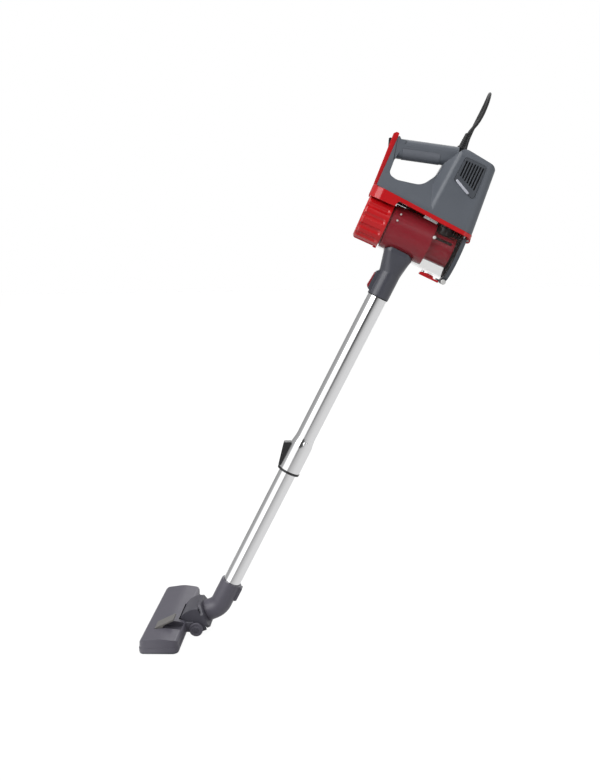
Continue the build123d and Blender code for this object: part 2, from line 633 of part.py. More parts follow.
case_slot = Pos(MOTOR_RADIUS, 0, (CASE_LOW + CASE_HIGH) / 2) * Box(12, 7, 30)
case = case - [Pos(MOTOR_U, 0, 0) * Rot(0, 0, 45 * index + 22.5) * case_slot for index in range(8)]
in_hand("motor_case", case)
in_hand(
    "lower_bearing", on_motor(lower_seat, lower_seat + BEARING_TALL, BEARING_RADIUS, SHAFT_RADIUS + RUN)
)
in_hand(
    "upper_bearing", on_motor(upper_seat, upper_seat + BEARING_TALL, BEARING_RADIUS, SHAFT_RADIUS + RUN)
)
rotor = on_motor(fan_low - 1, upper_seat + BEARING_TALL - 0.5, SHAFT_RADIUS)
rotor = rotor + on_motor(lower_seat + BEARING_TALL + 4, upper_seat - 12, ARMATURE_RADIUS)
commutator_low = upper_seat - 10
rotor = rotor + on_motor(commutator_low, commutator_low + 8, COMMUTATOR_RADIUS)
in_hand("motor_rotor", rotor)
brush_end = MOTOR_RADIUS - WALL - RUN
brush_pair = []
for side in (-1, 1):
    near, far = sorted((side * (COMMUTATOR_RADIUS + 0.15), side * brush_end))
    brush_bar = brick(MOTOR_U - 3, MOTOR_U + 3, near, far, commutator_low + 1.5, commutator_low + 6.5)
    brush_pair.append(brush_bar & on_motor(0, 400, brush_end))
in_hand("carbon_brushes", Compound(children=brush_pair))
foam_mid = (CASE_LOW + CASE_HIGH) / 2 + 3
foam = on_motor(foam_mid - 18, foam_mid + 18, MOTOR_RADIUS + LAID + FOAM_THICK, MOTOR_RADIUS + LAID)
rear_slant = (REAR_U - REAR_TOP_U) / (HOUSING_TOP - SEAT_REAR)
foam_rear = REAR_U - (foam_mid + 18 - SEAT_REAR) * rear_slant - WALL - SEAM - LAID
in_hand("exhaust_foam", foam & brick(0, foam_rear, -60, 60, 0, 400))
in_hand("terminal_block", brick(MOTOR_U - 10, MOTOR_U + 10, -10, 10, CASE_HIGH, CASE_HIGH + 12))

# Cord boot: a tapered rubber sleeve in the top of the housing.
BOOT_TIP = BOOT_W + 29.0
boot = post(BOOT_U, 0, BOOT_W - 8, BOOT_W + 4, BOOT_RADIUS)
boot = boot + Pos(BOOT_U, 0, BOOT_W + 4) * Cone(
    BOOT_RADIUS, CORD / 2 + 1, BOOT_TIP - BOOT_W - 4, align=(Align.CENTER, Align.CENTER, Align.MIN)
)
boot = boot - post(BOOT_U, 0, BOOT_W - 10, BOOT_TIP + 1, CORD / 2 + LAID)
in_hand("cord_boot", boot)

# Connector: a grey sleeve on the wand whose hood opens out to a saddle under the dust cup.
BOSS_U = -23.0
BUTTON_TRAVEL = 3.0
BUTTON_HALF = 8.0
hood_foot = Pos(0, 0, HOOD_LOW) * Circle(SLEEVE_RADIUS)
hood_head = Pos(-2.25, 0, HOOD_HIGH) * RectangleRounded(HOOD_LONG, HOOD_WIDE, 14)
hood = loft([hood_foot, hood_head]) + Pos(0, 0, HOOD_HIGH) * extrude(
    Pos(-2.25, 0) * RectangleRounded(HOOD_LONG, HOOD_WIDE, 14), amount=22
)
connector = post(0, 0, 0, HOOD_LOW, SLEEVE_RADIUS) + hood
boss = outline([(BOSS_U, 5), (BOSS_U, 38), (-15, 46), (-15, 2)], [2, 3, 0, 0])
connector = connector + slab(boss, -BUTTON_HALF - 3, BUTTON_HALF + 3)
connector = connector - post(0, 0, -1, CONNECTOR_DEEP, UPPER_RADIUS + RUN) - post(0, 0, 0, 140, AIR_RADIUS)
button_room = brick(BOSS_U - 8, BOSS_U + 4.3, -BUTTON_HALF - SEAM, BUTTON_HALF + SEAM, 6 - SEAM, 35 + SEAM)
connector = connector - button_room
cup_room = barrel(CUP_FRONT_U - 1, CUP_REAR_U, CUP_FRONT_R + LAID, CUP_AXIS, CUP_REAR_R + LAID)
pieces["wand_connector"] = wand_place * connector - hand_place * cup_room
button = outline(
    [(BOSS_U + 1, 6), (BOSS_U - 1.5, 6.5), (BOSS_U - 3.5, 10), (BOSS_U - 1.5, 35), (BOSS_U + 1, 35)],
    [0, 1, 2, 1, 0],
)
in_wand("release_button", slab(button, -BUTTON_HALF, BUTTON_HALF))
SEAL_TALL = 1.8
in_wand("connector_seal", post(0, 0, -SEAL_TALL, 0, SLEEVE_RADIUS - 0.4, UPPER_RADIUS + RUN))

# Chrome upper tube with its lock collar and black end ring.
SLIDER_LOW = -348.0
SLIDER_HIGH = -302.0
SLIDER_TRAVEL = 6.0
SLOT_HALF = 4.6
ROLLER_W = -330.0
slot_room = brick(-40, -10, -SLOT_HALF, SLOT_HALF, ROLLER_W - 7, ROLLER_W + SLIDER_TRAVEL + 7)
in_wand(
    "upper_tube",
    post(0, 0, COLLAR_LOW, CONNECTOR_DEEP - RUN, UPPER_RADIUS, UPPER_RADIUS - TUBE_WALL) - slot_room,
)
flare_low = COLLAR_TOP - COLLAR_FLARE
collar = post(0, 0, COLLAR_LOW, flare_low, COLLAR_RADIUS) + Pos(0, 0, flare_low) * Cone(
    COLLAR_RADIUS, UPPER_RADIUS + 0.6, COLLAR_FLARE, align=(Align.CENTER, Align.CENTER, Align.MIN)
)
in_wand("lock_collar", collar - post(0, 0, COLLAR_LOW - 1, COLLAR_TOP + 1, UPPER_RADIUS + RUN) - slot_room)
in_wand("collar_ring", post(0, 0, COLLAR_LOW - RING_LONG, COLLAR_LOW, RING_RADIUS, LOWER_RADIUS + RUN))

# Black lock slider on the collar, with the roller that it holds in the notched groove of the lower tube.
ROLLER_RADIUS = 1.7
ROLLER_HALF = GROOVE_HALF - 0.4
groove_floor = LOWER_RADIUS - GROOVE_DEEP
roller_u = -(groove_floor + 0.3 + ROLLER_RADIUS)
slider_side = outline(
    [
        (-16, SLIDER_HIGH), (-COLLAR_RADIUS - 1, SLIDER_HIGH), (-31.5, SLIDER_HIGH - 5.5),
        (-COLLAR_RADIUS - 2, SLIDER_LOW), (-16, SLIDER_LOW),
    ],
    [0, 1, 2, 0.5, 0],
)
slider = slab(slider_side, -8.5, 8.5) - post(0, 0, COLLAR_LOW, COLLAR_TOP, COLLAR_RADIUS + SEAM)
tongue_end = roller_u
slider = slider + brick(
    -COLLAR_RADIUS - 2, tongue_end, -SLOT_HALF + SEAM, SLOT_HALF - SEAM, ROLLER_W - 4, ROLLER_W + 4
)
roller_room = rod(roller_u, ROLLER_W, ROLLER_RADIUS + RUN, -ROLLER_HALF - RUN, ROLLER_HALF + RUN)
in_wand("lock_slider", slider - roller_room)
in_wand("lock_roller", rod(roller_u, ROLLER_W, ROLLER_RADIUS, -ROLLER_HALF, ROLLER_HALF))

# Chrome lower tube: its pressed-in groove has notches for the lock, and a bush guides its top in the upper
# tube.
LOWER_END = -(WAND_LONG + SOCKET_DEEP)
GROOVE_TOP = -200.0
GROOVE_LOW = -572.0
lower = post(0, 0, LOWER_END, LOWER_TOP, LOWER_RADIUS, LOWER_RADIUS - TUBE_WALL)
channel = brick(
    -LOWER_RADIUS + 0.6, -groove_floor + TUBE_WALL, -GROOVE_HALF - 1, GROOVE_HALF + 1, GROOVE_LOW - 1,
    GROOVE_TOP + 1,
)
lower = lower + (channel & post(0, 0, LOWER_END, LOWER_TOP, LOWER_RADIUS - 0.2))
lower = lower - brick(-LOWER_RADIUS - 1, -groove_floor, -GROOVE_HALF, GROOVE_HALF, GROOVE_LOW, GROOVE_TOP)
notch = brick(-groove_floor - 0.5, -groove_floor + 2 * TUBE_WALL, -2.2, 2.2, -4, 4)
lower = lower - [Pos(0, 0, ROLLER_W + NOTCH_PITCH * (5 - index)) * notch for index in range(NOTCH_COUNT)]
in_wand("lower_tube", lower)
bush = post(0, 0, LOWER_TOP, LOWER_TOP + 6, UPPER_RADIUS - TUBE_WALL - RUN, LOWER_RADIUS - TUBE_WALL - 1.5)
in_wand(
    "tube_bush",
    bush
    + post(0, 0, LOWER_TOP - 12, LOWER_TOP, LOWER_RADIUS - TUBE_WALL - RUN, LOWER_RADIUS - TUBE_WALL - 1.5),
)

# Elbow: a bent grey socket for the lower tube, with a hook lug at its rear, that turns on the neck's
# spigot.
path = FilletPolyline((socket_x, 0, socket_z), (bend_x, 0, bend_z), (neck_x, 0, neck_z), radius=ELBOW_BEND)
socket_plane = Plane((socket_x, 0, socket_z), z_dir=(-sin(radians(WAND_LEAN)), 0, -cos(radians(WAND_LEAN))))
elbow = sweep(socket_plane * Circle(ELBOW_RADIUS), path=path)
lug = outline(
    [(14, -2), (ELBOW_RADIUS + 4, -2), (ELBOW_RADIUS + 4, -28), (ELBOW_RADIUS + 1, -30), (14, -30)],
    [0, 2, 2, 1, 0],
)
lug_gap = brick(ELBOW_RADIUS - 0.2, ELBOW_RADIUS + 2, -4, 4, -40, -8)
socket_place = wand_place * Pos(0, 0, -WAND_LONG)
elbow = elbow + socket_place * (slab(lug, -7, 7) - lug_gap)
passage = sweep(socket_plane * Circle(AIR_RADIUS - 0.5), path=path)
elbow = elbow - passage
elbow = elbow - socket_place * post(0, 0, -SOCKET_DEEP, 1, LOWER_RADIUS + RUN)
CLIP_X = 8.0
CLIP_WIDE = 1.6
clip_outer = SPIGOT_RADIUS + 1.0
clip_inner = SPIGOT_RADIUS - 1.3
elbow = elbow - neck_place * barrel(-1, SPIGOT_LONG + RUN, SPIGOT_RADIUS + RUN, 0)
elbow = elbow - neck_place * barrel(CLIP_X - RUN, CLIP_X + CLIP_WIDE + RUN, clip_outer + RUN, 0)
pieces["elbow"] = elbow

# Neck: a flange with the spigot behind it and, in front, half a drum that pitches about the wheel axle.
FLANGE_FACE = -SEAM
flange_back = FLANGE_FACE - FLANGE_THICK
flange_points = [
    (22, 24), (36, 6), (36, 8 - FLANGE_LOW), (28, -FLANGE_LOW), (-28, -FLANGE_LOW), (-36, 8 - FLANGE_LOW),
    (-36, 6), (-22, 24),
]
flange = outline(flange_points, 4)
neck = neck_place * cross(flange, flange_back, FLANGE_FACE)
neck = neck + neck_place * barrel(flange_back, SPIGOT_LONG, SPIGOT_RADIUS, 0)
drum_front = (axle_x - 90 * cos(radians(30)), WHEEL_RADIUS + 90 * sin(radians(30)))
drum_zone = outline(
    [
        (axle_x - 8, WHEEL_RADIUS - 8), (axle_x - 8, WHEEL_RADIUS + 4.6), drum_front, (axle_x, 140),
        (140, 140), (140, 4.5), (axle_x, 4.5),
    ]
)
zone = slab(drum_zone, -60, 60) & neck_place * brick(-140, flange_back + 0.2, -60, 60, -FLANGE_LOW, 140)
drum = rod(axle_x, WHEEL_RADIUS, DRUM_RADIUS, -DRUM_HALF, DRUM_HALF)
drum = drum - rod(axle_x, WHEEL_RADIUS, DRUM_RADIUS - WALL, -DRUM_HALF + WALL, DRUM_HALF - WALL)
neck = neck + (drum & zone)
for low, high in ((-DRUM_HALF, -DRUM_HALF + 6), (DRUM_HALF - 6, DRUM_HALF)):
    neck = neck + rod(axle_x, WHEEL_RADIUS, 8, low, high)
neck = neck - rod(axle_x, WHEEL_RADIUS, AXLE_RADIUS + RUN, -60, 60)
neck = neck - neck_place * barrel(flange_back - 1, SPIGOT_LONG + 1, AIR_RADIUS - 1, 0)
neck = neck - neck_place * (
    barrel(CLIP_X - RUN, CLIP_X + CLIP_WIDE + RUN, 30, 0) - barrel(0, 20, clip_inner - RUN, 0)
)
pieces["neck"] = neck
in_neck("swivel_clip", barrel(CLIP_X, CLIP_X + CLIP_WIDE, clip_outer, 0) - barrel(0, 20, clip_inner, 0))

# Head cover: a low shell, notched at the rear for the drum, with lugs for the axle and a pocket for the
# pedal.
depth = HEAD_DEPTH / 2
nose = -depth - HEAD_NOSE
width = HEAD_WIDTH / 2
sole_top = SOLE_HEIGHT + SOLE_THICK
NOTCH_GAP = 1.5
PEDAL_AXLE_X = PEDAL_FRONT + 6.0
PEDAL_AXLE_Z = 24.0
POCKET_FLOOR = 20.0
cover_side = outline(
    [
        (nose, sole_top), (nose, HEAD_TOP - 3), (nose + 4, HEAD_TOP), (2, HEAD_TOP + HEAD_CROWN), (
            depth - 4, HEAD_TOP + 0.5
        ),
        (depth, HEAD_TOP - 3), (depth, sole_top),
    ],
    [0, 3, 4, 60, 4, 3, 0],
)
head_plan = outline(
    [(nose, -width), (depth, -width), (depth, width), (nose, width)], [9.5, 10.5, 10.5, 9.5]
)


def head_form(wall, low, high):
    """The head's outside, or the room inside it."""
    return slab(inset(cover_side, wall), -width, width) & Pos(0, 0, low) * extrude(
        inset(head_plan, wall), amount=high - low
    )


room = head_form(WALL, 0, 60) + Pos(0, 0, sole_top - 1) * extrude(
    inset(head_plan, WALL), amount=1 + WALL + 1
)
skirt = Pos(0, 0, sole_top) * extrude(inset(head_plan, -SKIRT_PROUD), amount=SKIRT_TOP - sole_top)
cover_shell = head_form(0, 0, 60) + skirt - room
notch_radius = DRUM_RADIUS + NOTCH_GAP
notch_half = DRUM_HALF + NOTCH_GAP
wall_rod = rod(axle_x, WHEEL_RADIUS, notch_radius + WALL, -notch_half - WALL, notch_half + WALL)
cover_shell = cover_shell + (wall_rod & head_form(WALL / 2, 0, 60))
cover_shell = cover_shell - rod(axle_x, WHEEL_RADIUS, notch_radius, -notch_half, notch_half)
pocket_front = PEDAL_FRONT - 1.5
pocket_rear = depth - 2.5
pocket_half = PEDAL_WIDE / 2 + 2.0
pocket_low = PEDAL_MIDDLE - pocket_half
pocket_high = PEDAL_MIDDLE + pocket_half
pocket_walls = brick(
    pocket_front - WALL, pocket_rear + WALL, pocket_low - WALL, pocket_high + WALL, POCKET_FLOOR - WALL, 60
)
cover_shell = cover_shell + (pocket_walls & head_form(WALL / 2, 0, 60))
cover_shell = cover_shell - brick(pocket_front, pocket_rear, pocket_low, pocket_high, POCKET_FLOOR, 60)
cover_shell = cover_shell - rod(
    PEDAL_AXLE_X, PEDAL_AXLE_Z, PEDAL_AXLE, pocket_low - WALL, pocket_high + WALL
)
cover_shell = cover_shell - brick(0, depth, -26, 26, 9, 22)
lug_inner = notch_half + 0.7
lug_outer = lug_inner + LUG_THICK
lug_side = make_hull(
    (Pos(axle_x, WHEEL_RADIUS) * Circle(7)).edges() + (Pos(depth - 3, 14) * Rectangle(4, 14)).edges()
)
for low, high in ((-lug_outer, -lug_inner), (lug_inner, lug_outer)):
    cover_shell = cover_shell + slab(lug_side, low, high)
cover_shell = cover_shell - rod(axle_x, WHEEL_RADIUS, AXLE_RADIUS, -60, 60)
HEAD_SCREW_PLACES = [(x, y) for x in (24.0,) for y in (-115.0, -96.0, 60.0, 115.0)]
for x, y in HEAD_SCREW_PLACES:
    cover_shell = cover_shell + (post(x, y, sole_top, 60, 4) & head_form(WALL / 2, 0, 60))
    cover_shell = cover_shell - post(x, y, 0, sole_top + 9, 1.5)
pieces["head_cover"] = cover_shell

# Sole plate with the suction mouth, the slots of the brush strips and the screws that hold it.
BRUSH_BACK = 1.9
sole = Pos(0, 0, SOLE_HEIGHT) * extrude(head_plan, amount=SOLE_THICK)
sole = sole - rod(axle_x, WHEEL_RADIUS, notch_radius, -notch_half, notch_half)
sole = sole - brick(MOUTH_FRONT, MOUTH_REAR, -MOUTH_HALF, MOUTH_HALF, 0, 10)
for x in BRUSH_ROWS:
    slot_wide = BRUSH_BACK + SEAM
    sole = sole - brick(x - slot_wide, x + slot_wide, -BRUSH_HALF - SEAM, BRUSH_HALF + SEAM, 0, 10)
head_screws = []
for x, y in HEAD_SCREW_PLACES:
    sole = sole - post(x, y, 0, 10, 1.5 + LAID) - post(x, y, 0, SOLE_HEIGHT + 1.5, HEAD_RADIUS + LAID)
    screw_head = post(x, y, SOLE_HEIGHT + 0.1, SOLE_HEIGHT + 1.5, HEAD_RADIUS)
    head_screws.append(screw_head + post(x, y, SOLE_HEIGHT + 1.5, sole_top + 8, 1.5))
pieces["sole_plate"] = sole
pieces["head_screws"] = Compound(children=head_screws)

# Wheel axle with its end caps, and the two wheels that turn on it.
wheel_inner = lug_outer + 0.5
wheel_outer = wheel_inner + WHEEL_WIDE
axle = rod(axle_x, WHEEL_RADIUS, AXLE_RADIUS, -wheel_outer - 1.5, wheel_outer + 1.5)
wheel_end = rod(axle_x, WHEEL_RADIUS, 4.2, wheel_outer + SEAM, wheel_outer + 1.5)
axle = axle + wheel_end + rod(axle_x, WHEEL_RADIUS, 4.2, -wheel_outer - 1.5, -wheel_outer - SEAM)
pieces["wheel_axle"] = axle
for name, low, high in (
    ("wheel_left", -wheel_outer, -wheel_inner), ("wheel_right", wheel_inner, wheel_outer)
):
    wheel = rod(axle_x, WHEEL_RADIUS, WHEEL_RADIUS, low, high)
    wheel = fillet(wheel.edges().filter_by(GeomType.CIRCLE), 1.2)
    pieces[name] = wheel - rod(axle_x, WHEEL_RADIUS, AXLE_RADIUS + RUN, low - 1, high + 1)

# Pedal on its axle, and the two brush strips on a carrier that it lifts.
PEDAL_THICK = 3.0
pedal_turn = Location((PEDAL_FRONT, 0, HEAD_TOP + 0.5), (0, -PEDAL_TILT, 0))
plate = pedal_turn * brick(0, PEDAL_LONG, -PEDAL_WIDE / 2, PEDAL_WIDE / 2, 0, PEDAL_THICK)
rib_far = [(2, 2.5), (16, 9), (14, 6)]
rib_far = outline([(PEDAL_FRONT + x, HEAD_TOP + z) for x, z in rib_far])
pedal_rib = make_hull((Pos(PEDAL_AXLE_X, PEDAL_AXLE_Z) * Circle(2.6)).edges() + rib_far.edges())
pedal = plate
for y in (-PEDAL_WIDE / 2, PEDAL_WIDE / 2 - 3):
    pedal = pedal + slab(pedal_rib, y, y + 3)
pedal = Pos(0, PEDAL_MIDDLE, 0) * pedal
pieces["pedal"] = pedal - rod(PEDAL_AXLE_X, PEDAL_AXLE_Z, PEDAL_AXLE + RUN, pocket_low, pocket_high)
pieces["pedal_axle"] = rod(
    PEDAL_AXLE_X, PEDAL_AXLE_Z, PEDAL_AXLE, pocket_low - WALL + 0.5, pocket_high + WALL - 0.5
)
backing_low = sole_top + SEAM
backing_high = backing_low + 3.7
strand_pitch = 2 * (BRUSH_HALF - 1.5) / (STRANDS_ROW - 1)
for name, x in (("brush_front", BRUSH_ROWS[0]), ("brush_rear", BRUSH_ROWS[1])):
    backing = brick(x - BRUSH_BACK, x + BRUSH_BACK, -BRUSH_HALF, BRUSH_HALF, backing_low, backing_high)
    strands = []
    for row in (-0.9, 0.9):
        for index in range(STRANDS_ROW):
            y = -BRUSH_HALF + 1.5 + index * strand_pitch
            strand = Box(STRAND_SIDE, STRAND_SIDE, backing_low + 0.2)
            strands.append(Pos(x + row, y, (0.3 + backing_low + 0.5) / 2) * strand)
    pieces[name] = backing.fuse(*strands)
carrier = brick(
    BRUSH_ROWS[0] - 3, BRUSH_ROWS[1] + 3, -BRUSH_HALF, BRUSH_HALF, backing_high, backing_high + 2
)
pieces["brush_carrier"] = carrier

# Mains cord: points and directions along the free lead and the coil, joined by pairs of arcs.
coil_outer = COIL_INNER + COIL_TURNS * COIL_PITCH
coil_v = COIL_GAP + CORD / 2


def unit(vector):
    return vector / vector.length


def two_arcs(start, start_way, end, end_way):
    """Two tangent arcs from one point and direction to the next."""
    chord = end - start
    if chord.cross(start_way).length < 1e-6 and chord.cross(end_way).length < 1e-6:
        return [Edge.make_line(start, end)]
    ways = start_way + end_way
    a = 2 * (1 - start_way.dot(end_way))
    b = 2 * chord.dot(ways)
    if a < 1e-9:
        reach = chord.dot(chord) / b
    else:
        reach = (-b + (b * b + 4 * a * chord.dot(chord)) ** 0.5) / (2 * a)
    middle = (start + start_way * reach + end - end_way * reach) / 2
    first = Edge.make_tangent_arc(start, start_way, middle)
    second = Edge.make_tangent_arc(middle, first % 1, end)
    return [first, second]


def tube(points, ways):
    edges = []
    for index in range(len(points) - 1):
        edges += two_arcs(points[index], ways[index], points[index + 1], ways[index + 1])
    line = Wire(edges)
    return line, sweep(Plane(points[0], z_dir=ways[0]) * Circle(CORD / 2), path=line)


def smooth(t):
    t = min(max(t, 0.0), 1.0)
    return t * t * (3 - 2 * t)


def coil_point(turns):
    """A point on the coil after so many turns, winding in and out in layers."""
    total = COIL_LAYERS * COIL_TURNS
    wound = min(turns, total)
    layer = wound / COIL_TURNS
    inward = layer % 2.0
    reach = coil_outer - (inward if inward <= 1.0 else 2.0 - inward) * (coil_outer - COIL_INNER)
    climbed = sum(smooth((turns - COIL_TURNS * (step + 1)) / 0.5 + 0.5) for step in range(COIL_LAYERS - 1))
    tail = smooth((turns - total) * 360 / COIL_TAIL) * TAIL_RISE
    angle = -2 * pi * turns
    return Vector(
        COIL_U + reach * cos(angle), coil_v + COIL_PITCH * climbed + tail, COIL_W + reach * sin(angle)
    )


def coil_way(turns):
    return unit(coil_point(turns + 0.002) - coil_point(turns - 0.002))


TAIL_RISE = 11.0
tail_turns = COIL_LAYERS * COIL_TURNS + COIL_TAIL / 360
steps = [index / 4 for index in range(int(4 * COIL_LAYERS * COIL_TURNS) + 1)]
steps += [steps[-1] + COIL_TAIL / 720, tail_turns]
coil_points = [coil_point(max(turns, 0.002)) if turns else coil_point(0.0) for turns in steps]
coil_ways = [coil_way(turns) if turns else unit(coil_point(0.004) - coil_point(0.0)) for turns in steps]
coil_ways[-1] = unit(Vector(coil_ways[-1].X, 0, coil_ways[-1].Z))
coil_line, coil_tube = tube(coil_points, coil_ways)
in_hand("cord_coil", coil_tube)

lead = [
    (BOOT_U, 0, BOOT_TIP - 16), (BOOT_U, 0, BOOT_TIP + 0.5), (33.0, 0.5, BOOT_TIP + 26), (
        33.2, 6, BOOT_TIP + 58
    ),
    (31.5, 31, BOOT_TIP + 81), (33.5, 58, BOOT_TIP + 81), (35, 76, BOOT_TIP + 62), (34, 80, BOOT_TIP + 36),
]
lead_down = [
    (33.2, 78, 1.0), (38.5, 75, 0.839), (55, 69, 0.703), (74, 62, 0.581), (88.5, 56, 0.426),
    (95.5, 52, 0.245),
]
lead += [(u, v, COIL_W + (BOOT_TIP - COIL_W) * part) for u, v, part in lead_down]
lead = [Vector(*point) for point in lead] + [coil_points[0]]
lead_ways = [Vector(0, 0, 1)]
for index in range(1, len(lead) - 1):
    lead_ways.append(unit(unit(lead[index] - lead[index - 1]) + unit(lead[index + 1] - lead[index])))
lead_ways[1] = Vector(0, 0, 1)
lead_ways.append(coil_ways[0])
lead_line, lead_tube = tube(lead, lead_ways)
in_hand("mains_cord", lead_tube)
print("cord length mm", round(lead_line.length + coil_line.length))

# Least gap of the coil to itself, and the tightest bend of the lead, measured on points along them.
count = 36 * int(COIL_LAYERS * COIL_TURNS)
walk = [coil_point(tail_turns * index / count) for index in range(count + 1)]
least = 1e9
for index in range(len(walk)):
    for other in range(index + 18, len(walk)):
        gap = (walk[index] - walk[other]).length
        least = min(least, gap)
print("coil gap to itself mm", round(least - CORD, 2))
arcs = [edge.radius for edge in lead_line.edges() + coil_line.edges() if edge.geom_type == GeomType.CIRCLE]
print("cord bend radii mm", round(min(arcs), 1), round(max(arcs), 1))

# Strap round the coil, and the flat two-pin plug at the cord's end, lying on the coil.
TIE_THICK = 1.2
TIE_WIDE = 14.0
tie_in = COIL_INNER - CORD / 2 - 1.6
tie_out = coil_outer + CORD / 2 + SEAM
tie_low = coil_v - CORD / 2 - SEAM
tie_high = coil_v + COIL_PITCH * (COIL_LAYERS - 1) + CORD / 2 + SEAM
tie_middle = Pos((tie_low + tie_high) / 2, COIL_W - (tie_in + tie_out) / 2)
tie_face = tie_middle * RectangleRounded(
    tie_high - tie_low + 2 * TIE_THICK, tie_out - tie_in + 2 * TIE_THICK, 5
)
tie_face = tie_face - tie_middle * RectangleRounded(tie_high - tie_low, tie_out - tie_in, 4)
in_hand("cord_tie", cross(tie_face, COIL_U - TIE_WIDE / 2, COIL_U + TIE_WIDE / 2))
plug_way = coil_ways[-1]
plug_place = Plane(coil_points[-1], x_dir=plug_way.cross(Vector(0, 1, 0)), z_dir=plug_way)
plug = plug_place * (
    Pos(0, 0, 0) * Cone(CORD / 2 + 0.6, CORD / 2 + 2, 9, align=(Align.CENTER, Align.CENTER, Align.MIN))
    + Pos(0, 0, 9) * loft(
        [RectangleRounded(14, 10, 4), Pos(0, 0, 12) * RectangleRounded(PLUG_WIDE, PLUG_THICK, 6)]
    )
    + Pos(0, 0, 21) * extrude(RectangleRounded(PLUG_WIDE, PLUG_THICK, 6), amount=PLUG_LONG - 21)
    + [post(side * 9.5, 0, PLUG_LONG, PLUG_LONG + 19, 2) for side in (-1, 1)]
)
in_hand("mains_plug", plug)

for name, shape in pieces.items():
    export_step(shape, "parts/" + name + ".step")
    print(name, round(shape.volume), len(shape.solids()), shape.is_valid)
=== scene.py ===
import bpy
from math import asin, cos, pi, radians, sin
from mathutils import Matrix, Vector


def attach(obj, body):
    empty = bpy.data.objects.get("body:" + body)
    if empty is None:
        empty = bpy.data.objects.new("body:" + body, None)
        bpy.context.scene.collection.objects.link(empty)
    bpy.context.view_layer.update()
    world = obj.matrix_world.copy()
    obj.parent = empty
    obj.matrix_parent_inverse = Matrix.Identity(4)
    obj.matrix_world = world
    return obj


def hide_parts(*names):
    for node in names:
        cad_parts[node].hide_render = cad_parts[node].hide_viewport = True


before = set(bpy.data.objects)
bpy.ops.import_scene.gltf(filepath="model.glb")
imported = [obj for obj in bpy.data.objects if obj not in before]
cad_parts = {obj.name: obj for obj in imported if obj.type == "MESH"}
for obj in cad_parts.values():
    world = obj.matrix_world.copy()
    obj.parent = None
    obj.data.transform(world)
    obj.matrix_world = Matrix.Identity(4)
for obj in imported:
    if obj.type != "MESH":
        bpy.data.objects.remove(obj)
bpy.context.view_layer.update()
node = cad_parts

# Studio: a white painted floor in a white surround, as in the photograph. The surround is one shader, not a
# picture, and it holds the grey walls that the chrome mirrors. Four soft boxes light the cleaner.
bpy.context.scene.view_settings.view_transform = "Standard"


def rgb(red, green, blue):
    """A colour as seen on a screen, 0 to 255, turned into the linear values that shaders take."""
    values = [v / 255 for v in (red, green, blue)]
    return [v / 12.92 if v <= 0.04045 else ((v + 0.055) / 1.055) ** 2.4 for v in values] + [1.0]


def new_material(name):
    """A new material, with its nodes and links at hand."""
    material = bpy.data.materials.new(name)
    material.use_nodes = True
    return material, material.node_tree.nodes, material.node_tree.links


AMBIENT = 0.5
# What shiny pieces mirror, by direction round the cleaner from the left: a white wall, the dim end where
# the camera stands, a pale grey wall on the right, and a grey wall behind.
MIRRORED = [
    (0.0, 0.5), (0.02, 0.5), (0.05, 1.35), (0.185, 1.35), (0.21, 0.05), (0.245, 0.07),
    (0.3, 0.24), (0.42, 0.46), (0.55, 0.5), (0.66, 0.4), (0.8, 0.34), (1.0, 0.5),
]


def ray_level(nodes, links, place, seen_level, lit_level, middle=(0, 0, 0)):
    """Brightness by kind of ray: seen straight or through glass, seen in a mirror, or as light."""
    path = nodes.new("ShaderNodeLightPath")
    seen = nodes.new("ShaderNodeMath")
    seen.operation = "MAXIMUM"
    links.new(path.outputs["Is Camera Ray"], seen.inputs[0])
    links.new(path.outputs["Is Transmission Ray"], seen.inputs[1])
    where = nodes.new("ShaderNodeTexCoord")
    shifted = nodes.new("ShaderNodeMapping")
    shifted.inputs["Location"].default_value = [-value for value in middle]
    links.new(where.outputs[place], shifted.inputs["Vector"])
    around = nodes.new("ShaderNodeTexGradient")
    around.gradient_type = "RADIAL"
    links.new(shifted.outputs["Vector"], around.inputs["Vector"])
    tone = nodes.new("ShaderNodeValToRGB")
    ramp = tone.color_ramp.elements
    for spot, grey in MIRRORED[1:-1]:
        ramp.new(spot)
    for stop, (spot, grey) in zip(ramp, MIRRORED):
        stop.position = spot
        stop.color = (grey, grey, grey, 1)
    links.new(around.outputs["Fac"], tone.inputs["Fac"])
    mirror = nodes.new("ShaderNodeMapRange")
    mirror.inputs["To Min"].default_value = lit_level
    links.new(tone.outputs["Color"], mirror.inputs["To Max"])
    links.new(path.outputs["Is Glossy Ray"], mirror.inputs["Value"])
    level = nodes.new("ShaderNodeMix")
    level.inputs["B"].default_value = seen_level
    links.new(seen.outputs[0], level.inputs["Factor"])
    links.new(mirror.outputs["Result"], level.inputs["A"])
    return level.outputs["Result"]


world = bpy.data.worlds.new("white_surround")
bpy.context.scene.world = world
world.use_nodes = True
w_nodes = world.node_tree.nodes
w_links = world.node_tree.links
surround = w_nodes["Background"]
surround.inputs["Color"].default_value = (1, 1, 1, 1)
w_links.new(ray_level(w_nodes, w_links, "Generated", 1.0, AMBIENT), surround.inputs["Strength"])

